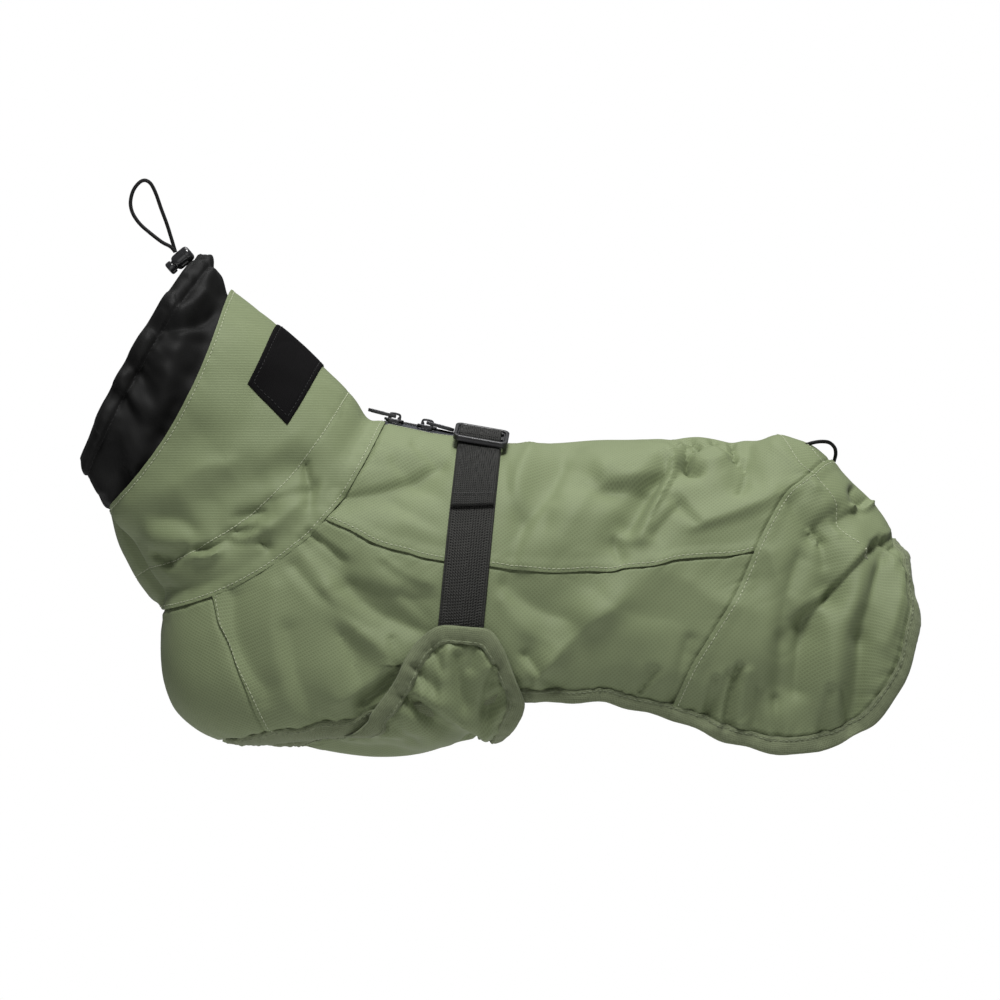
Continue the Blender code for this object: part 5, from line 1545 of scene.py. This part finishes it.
def webbing(name, distances, low, high, side, half, material, pitch, columns, replaced):
    """Ribbed webbing with rounded edges, as a closed band along the strap's line."""
    count = round((distances[-1] - distances[0]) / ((pitch / 4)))
    at = np.linspace(distances[0], distances[-1], count)
    low, high = np.interp(at, distances, low), np.interp(at, distances, high)
    face = np.linspace(-1, 1, FACE_POINTS)
    profile = np.concatenate((face, face[::-6]))
    top = np.arange(len(profile)) < FACE_POINTS
    crown = (1 - np.abs(profile) ** 10) ** 0.5
    angle, aside = np.meshgrid(strap_angle(at), profile * half, indexing='ij')
    s = strap_place(angle, aside)
    middle, wall = ((low + high) / 2)[:, None], ((high - low) / 2)[:, None]
    column = profile * half / columns * 2 * math.pi
    row = (at / pitch * 2 * math.pi)[:, None]
    rib = 0.20 * np.cos(row + 0.9 * np.sin(column)) + 0.10 * np.cos(column)
    height = middle + np.where(top, 1, -1) * (wall * (0.25 + 0.75 * crown) + rib * crown)
    points, out = surface(s, side * angle, height)
    made = finish_object(name, tube_mesh(name, points), material, "black_webbing", (replaced,),
                         sharp=75)
    return points, out


# Distances along the strap start at the spine.
BUCKLE_MIDDLE = 16.0
BUCKLE_LIFT = 5.4        # of its underside over the solid's cloth
BUCKLE_WALL = 2.4
BUCKLE_LENGTH = 22.0
BUCKLE_WIDTH = 29.4
WINDOW_WIDTH = 25.2
BAR = 4.0
END_BAR = 3.5
WING_TOP = 131.0
STRAP_TUCK = 9.0         # length of the strap under the wing's end
TAIL_END = 67.5
TAIL_HEM = 8.0


def straps():
    ends = np.array((0.25, WING_TOP + STRAP_TUCK))
    for label, side in (("left", 1), ("right", -1)):
        webbing("strap_web_" + label, ends, np.full(2, STRAP_LIFT),
                np.full(2, STRAP_LIFT + STRAP_WALL), side, STRAP_WIDTH / 2, WEBBING, 1.6, 1.45,
                "strap_" + label)
    rest = STRAP_LIFT + STRAP_WALL + 0.3
    over = BUCKLE_LIFT + BUCKLE_WALL + 0.3
    start, end = BUCKLE_MIDDLE + 7.2, TAIL_END - TAIL_HEM
    # distance from the spine, underside, walls thick
    rows = [(BUCKLE_MIDDLE + x, low, 1) for x, low in (
        (-7.8, rest), (-7.0, rest), (-5.9, over - 0.9), (-4.2, over + 0.5), (0, over + 0.9),
        (4.2, over + 0.5), (5.9, over - 0.9))]
    rows += [(start, rest + 0.2, 1), (start + 6, rest, 1), (end, rest, 1), (end + 0.7, rest, 2.0),
             (TAIL_END - 2.5, rest, 2.1), (TAIL_END - 0.6, rest + 0.2, 1.8),
             (TAIL_END, rest + 0.8, 0.9 / STRAP_WALL)]
    at, low, walls = np.array(rows).T
    points, out = webbing("strap_end", at, low, low + walls * STRAP_WALL, 1,
                          STRAP_WIDTH / 2 - 0.5, FINE_WEBBING, 1.15, 1.1, "strap_tail")
    row = int(np.interp(TAIL_END - TAIL_HEM + 2.2, (at[0], TAIL_END), (0, len(points) - 1)))
    stitch("dark_stitches", points[row, 2:FACE_POINTS - 2], out[row, 2:FACE_POINTS - 2],
           pitch=2.6, length=1.9, seed=101)


def frame_at(s, phi, height):
    """Local frame on the solid's cloth: x towards the tail, y round the body, z outwards."""
    s, phi = np.float64(s), np.float64(phi)
    base, out = base_point(s, phi), base_normal(s, phi)
    lift = large_folds(base) + front_lobes(s, phi, 5.0, 0.24, 0.0)
    origin = base + out * (lift + height)
    along = base_point(s + 0.05, phi) - base_point(s - 0.05, phi)
    along = unit(along - out * along.dot(out))
    across = np.cross(out, along)

    def place(local):
        local = np.asarray(local, float)
        return (origin + local[..., :1] * along + local[..., 1:2] * across
                + local[..., 2:3] * out)
    return place


def rounded(half_x, half_y, radius, centre=(0.0, 0.0)):
    """Outline of a rectangle with rounded corners."""
    points, count = [], 10
    for number, (sx, sy) in enumerate(((1, 1), (-1, 1), (-1, -1), (1, -1))):
        for step in range(count + 1):
            angle = math.pi / 2 * (number + step / count)
            points.append((centre[0] + sx * (half_x - radius) + radius * math.cos(angle),
                           centre[1] + sy * (half_y - radius) + radius * math.sin(angle)))
    return points


def plate(outlines, low, high, edge):
    """Flat plate with holes and rounded edges: vertices and faces in local millimetres."""
    curve = bpy.data.curves.new("plate", 'CURVE')
    curve.dimensions = '2D'
    curve.fill_mode = 'BOTH'
    curve.extrude = (high - low) / 2 - edge
    curve.bevel_depth = edge
    curve.bevel_resolution = 3
    curve.offset = -edge
    for outline in outlines:
        line = curve.splines.new('POLY')
        line.points.add(len(outline) - 1)
        line.use_cyclic_u = True
        for point, place in zip(line.points, outline):
            point.co = (*place, 0, 1)
    holder = bpy.data.objects.new("plate", curve)
    mesh = bpy.data.meshes.new_from_object(holder)
    points = np.array([v.co[:] for v in mesh.vertices]) + (0, 0, (high + low) / 2)
    faces = [tuple(p.vertices) for p in mesh.polygons]
    bpy.data.objects.remove(holder)
    bpy.data.curves.remove(curve)
    bpy.data.meshes.remove(mesh)
    return points, faces


def hard_piece(name, parts, place, material, slot, replaced, body="jacket"):
    """One object from several local solids, placed by a frame."""
    points, faces, start = [], [], 0
    for local, own in parts:
        points.append(place(np.asarray(local)))
        faces += [tuple(v + start for v in face) for face in own]
        start += len(local)
    mesh = bpy.data.meshes.new(name)
    mesh.from_pydata((np.concatenate(points) * MM).tolist(), [], faces)
    mesh.update()
    return finish_object(name, mesh, material, slot, replaced, body, sharp=35)


def buckle():
    """Tri-glide with rounded corners, a raised rim and a rounded bar between two windows."""
    angle = strap_angle(BUCKLE_MIDDLE)
    s = strap_place(np.array(angle), 0.0)
    half_x, half_y = BUCKLE_WIDTH / 2, BUCKLE_LENGTH / 2
    window_y = (half_y - END_BAR - BAR / 2) / 2
    centre_y = BAR / 2 + window_y
    outline = rounded(half_x, half_y, 3.6)
    windows = [rounded(WINDOW_WIDTH / 2 - 0.7, window_y, 1.3, (0, side * centre_y))
               for side in (-1, 1)]
    parts = [plate([outline] + windows, 0.0, BUCKLE_WALL - 0.2, 0.45),
             plate([outline, rounded(half_x - 2.1, half_y - 2.0, 2.6)], BUCKLE_WALL - 0.9,
                   BUCKLE_WALL + 0.8, 0.6)]
    hard_piece("tri_glide", parts, frame_at(s, angle, BUCKLE_LIFT), PLASTIC, "black_plastic",
               ("buckle",))


# ---------------------------------------------------------------- zip

SLIDER_PLACES = {"front": -47.3, "rear": -29.6}
HEADING = {"front": -1, "rear": 1}
SLIDER_LENGTH = 10.5
SLIDER_WIDTH = 8.4
SLIDER_LIFT = 2.25
SLIDER_BODY = 2.5
BAIL_LENGTH = 7.0
BAIL_ROOM = 2.4
BAIL_WIDTH = 2.3
PULL_LENGTH = 15.0
PULL_WIDTH = 6.6
PULL_WALL = 1.8
PULL_LEAN = {"front": math.radians(3), "rear": math.radians(-4)}
AXIS_HEIGHT = SLIDER_LIFT + SLIDER_BODY + 1.4


def spine_section(x):
    return bisected(0.0, LAST, lambda s: cubic(SECTIONS, s)[0] < x)


def tape_rise(x):
    """How far the closed zip stands up along its middle line, most beside the collar."""
    return 0.5 + 2.5 * (1 - smooth((x + 30) / 45))


def zip_tape():
    """Two woven tapes under the panel's folded edges, tented along the chain."""
    s = np.linspace(COLLAR_SEAM + 0.02, ZIP_END + 0.25, 90)
    grid_s, aside = np.meshgrid(s, np.linspace(-8.2, 8.2, 45), indexing='ij')
    phi = np.arcsin(aside / cubic(SECTIONS, grid_s)[..., 4])
    base, out = base_point(grid_s, phi), base_normal(grid_s, phi)
    level = 0.35 + tape_rise(base[..., 0]) * np.exp(-(np.abs(aside) / 4.6) ** 2.5)
    level = level + 0.08 * np.cos(aside * 2 * math.pi / 1.3)
    outer, inner = (base + out * (level - wall)[..., None] for wall in (0.0, 0.6))
    made = finish_object("zip_tapes", wall_mesh("zip_tapes", outer, inner), ZIP_CLOTH,
                         "black_cloth", ("zip_tape",))


def zip_chain():
    """Coil of a closed zip: pairs of rounded loops that meet on the middle line."""
    around, rings, tooth_pitch = 8, 7, 0.72
    dense = np.linspace(COLLAR_SEAM + 0.06, ZIP_END - 0.02, 900)
    along = lengths(base_point(dense, np.zeros(900)))
    sections = np.interp(np.arange(0.7, along[-1] - 0.5, tooth_pitch), along, dense)
    angles = turns(around)
    spine = np.float64(0.0)
    teeth = []
    for number, s in enumerate(sections):
        side = 1 if number % 2 else -1
        centre, out = base_point(s, spine), base_normal(s, spine)
        ahead = unit(base_point(s + 0.02, spine) - base_point(s - 0.02, spine))
        sideways = np.cross(out, ahead)
        tooth = []
        for share in np.linspace(0, 1, rings):
            aside = -0.7 + 3.3 * share
            rise = (0.35 + tape_rise(centre[0]) + 0.45 * math.sin(math.pi * min(share * 1.25, 1.0))
                    - 0.5 * share ** 3)
            size = 0.42 * (0.55 + 0.45 * math.sin(math.pi * (0.12 + 0.76 * share)))
            tooth.append(centre + out * rise + sideways * side * aside
                         + size * (np.cos(angles)[:, None] * ahead
                                   + 1.25 * np.sin(angles)[:, None] * out))
        teeth.append(tooth)
    STITCHES["zip_teeth"] = [np.array(teeth)]
    sew("zip_teeth", TEETH, "black_plastic")


def zip_slider(end):
    """Slider with two flanged plates, a neck and an arched bail."""
    heading = HEADING[end]
    half, width = SLIDER_LENGTH / 2, SLIDER_WIDTH / 2
    shield = [(-half * 0.98, width * 0.72), (-half * 0.6, width * 0.97), (half * 0.1, width),
              (half * 0.62, width * 0.86), (half, width * 0.66)]
    shield = [(heading * x, y) for x, y in shield]
    outline = shield + [(x, -y) for x, y in reversed(shield)]
    dense = cubic(np.array(outline + outline[:1]), np.linspace(0, len(outline), 61))[:-1]
    parts = [plate([dense.tolist()], 1.05, SLIDER_BODY, 0.45),
             plate([dense.tolist()], -0.45, 0.45, 0.35),
             plate([rounded(half * 0.75, 1.0, 0.9)], 0.0, 1.8, 0.2)]
    for side in (-1, 1):
        parts.append(plate([rounded(half * 0.6, 0.85, 0.7, (0, side * (width - 0.85)))], 0.2, 2.0,
                           0.15))
    bail = BAIL_LENGTH / 2 - 0.55
    arch = cubic(np.array(((-bail, -0.5), (-bail, 1.2), (-bail * 0.8, BAIL_ROOM + 0.15),
                           (0, BAIL_ROOM + 0.5), (bail * 0.8, BAIL_ROOM + 0.15), (bail, 1.2),
                           (bail, -0.5))), np.linspace(0, 6, 40))
    leg = 1 - smooth((arch[:, 1] - 0.4) / 1.4)
    arch[:, 0] -= np.sign(arch[:, 0]) * 0.4 * leg
    ahead = unit(np.gradient(arch, axis=0))
    aside = np.stack((-ahead[:, 1], ahead[:, 0]), axis=1) * (0.6 + 0.4 * leg)[:, None]
    band = np.vstack((arch + aside, (arch - aside)[::-1]))
    points, faces = plate([band.tolist()], -BAIL_WIDTH / 2, BAIL_WIDTH / 2, 0.3)
    points = np.stack((points[:, 0], -points[:, 2], points[:, 1] + SLIDER_BODY), axis=1)
    parts.append((points, faces))
    hard_piece("slider_" + end, parts, frame_at(spine_section(SLIDER_PLACES[end]), 0.0,
                                                SLIDER_LIFT), METAL, "dark_metal",
               ("zip_slider_" + end,))


def zip_pull(end):
    """Flat pull tab with a window for the bail and a shallow pressed panel."""
    heading = HEADING[end]
    lean = PULL_LEAN[end]
    base = frame_at(spine_section(SLIDER_PLACES[end]), 0.0, AXIS_HEIGHT)

    def place(local):
        x, y, z = (np.asarray(local)[..., k] for k in range(3))
        return base(np.stack((heading * (x * math.cos(lean) - z * math.sin(lean)), heading * y,
                              x * math.sin(lean) + z * math.cos(lean)), axis=-1))
    half = PULL_WIDTH / 2
    length = PULL_LENGTH + 0.6
    taper = [(-0.6, half * 0.86), (2.0, half * 0.95), (length * 0.6, half), (length - 2.4, half),
             (length - 1.0, half * 0.88), (length - 0.6 - 0.1, half * 0.55)]
    outline = taper + [(x, -y) for x, y in reversed(taper)]
    middle = (0.6 + PULL_WALL / 2 + 4.7) / 2
    parts = [plate([outline, rounded(1.75, half - 1.15, 0.8, (middle - 0.3, 0))],
                   -PULL_WALL / 2, PULL_WALL / 2, 0.3),
             plate([rounded(3.6, half - 1.3, 1.4, (9.6, 0)),
                    rounded(2.9, half - 2.0, 0.9, (9.6, 0))], -PULL_WALL / 2 - 0.12,
                   PULL_WALL / 2 + 0.12, 0.15)]
    hard_piece("tab_" + end, parts, place, METAL, "dark_metal", ("zip_pull_" + end,),
               "pull_" + end)


# ---------------------------------------------------------------- cord lock

LOCK_MIDDLE = (-161.1, -10.8, 99.6)
LOCK_DIRECTION = (-0.76, 0.0, -0.65)
# distance along the lock, radius
LOCK_PROFILE = ((-6.6, 0.4), (-6.6, 2.4), (-6.35, 3.2), (-5.9, 3.85), (-5.0, 4.3), (-3.4, 4.42),
                (-3.1, 4.28), (-2.8, 4.42), (0.6, 4.42), (2.4, 4.36), (3.6, 4.05), (4.3, 3.4),
                (4.55, 3.0), (4.6, 2.75), (5.35, 2.75), (5.42, 3.2), (5.7, 3.52), (6.4, 3.6),
                (7.9, 3.6), (8.5, 3.35), (8.9, 2.7), (9.0, 1.6), (9.0, 0.4))


def cord_lock():
    """Round spring lock with its button, turned about the cord's direction."""
    axis = unit(np.array(LOCK_DIRECTION))
    aside = np.array((0.0, 1.0, 0.0))
    third = np.cross(axis, aside)
    angles = turns(48)[:, None]
    profile = cubic(LOCK_PROFILE, np.linspace(0, len(LOCK_PROFILE) - 1, 110))
    rings = [np.array(LOCK_MIDDLE) + axis * along
             + max(radius, 0.2) * (np.cos(angles) * aside + np.sin(angles) * third)
             for along, radius in profile]
    finish_object("lock_body", tube_mesh("lock_body", rings), GLOSSY, "black_plastic",
                  ("cord_lock",), sharp=30)


# ---------------------------------------------------------------- all of it

def seated_line(places, count, panels):
    """Points and normals on the faces of panels, along a smooth line through places."""
    line = cubic(places, np.linspace(0, len(places) - 1, count))
    points, normals = surface(line[:, 0], line[:, 1], CLOTH)
    return seated(points, normals, panels), normals


# Side-view places of the cord tunnel beside the tail seam, its short row and its end tack.
TUNNEL_ROWS = (((161, 2), (169, -10), (177, -17), (185, -26), (191, -35), (192, -44), (196, -50),
                (202, -56)), ((174, -2), (180, -8), (185, -12.5)))
TUNNEL_TACK = ((203, -57.5), (206, -62.5))


def tail_stitching():
    """Stitched cord tunnel beside the tail seam, its short row and its end tack."""
    for side in (1, -1):
        for rows in TUNNEL_ROWS:
            places = [(s, side * phi) for s, phi in side_path(rows)]
            stitch("body_stitches", *seated_line(places, 200, ["back_shell", "rear_shell"]),
                   length=2.1, seed=111)
        tack = [(s, side * phi) for s, phi in side_path(TUNNEL_TACK)]
        points, normals = seated_line(tack, 30, ["rear_shell"])
        for shift in (-0.3, 0.3):
            stitch("body_stitches", points + (shift, 0, 0), normals, pitch=0.8, length=0.9,
                   radius=0.4, seed=112)


collar()
back_panel()
side_panel(1)
side_panel(-1)
for build in (chest_panel, rear_panel, belly_panel, bindings, snood, label, straps, buckle,
              zip_tape, zip_chain):
    build()
for each_end in SLIDER_PLACES:
    zip_slider(each_end)
    zip_pull(each_end)
cord_lock()
tail_stitching()
for each_group, thread, each_slot in (("collar_stitches", THREAD, "sage_cloth"),
                                      ("body_stitches", THREAD, "sage_cloth"),
                                      ("binding_stitches", EDGE_THREAD, "sage_binding"),
                                      ("dark_stitches", DARK_THREAD, "black_cloth")):
    sew(each_group, thread, each_slot)
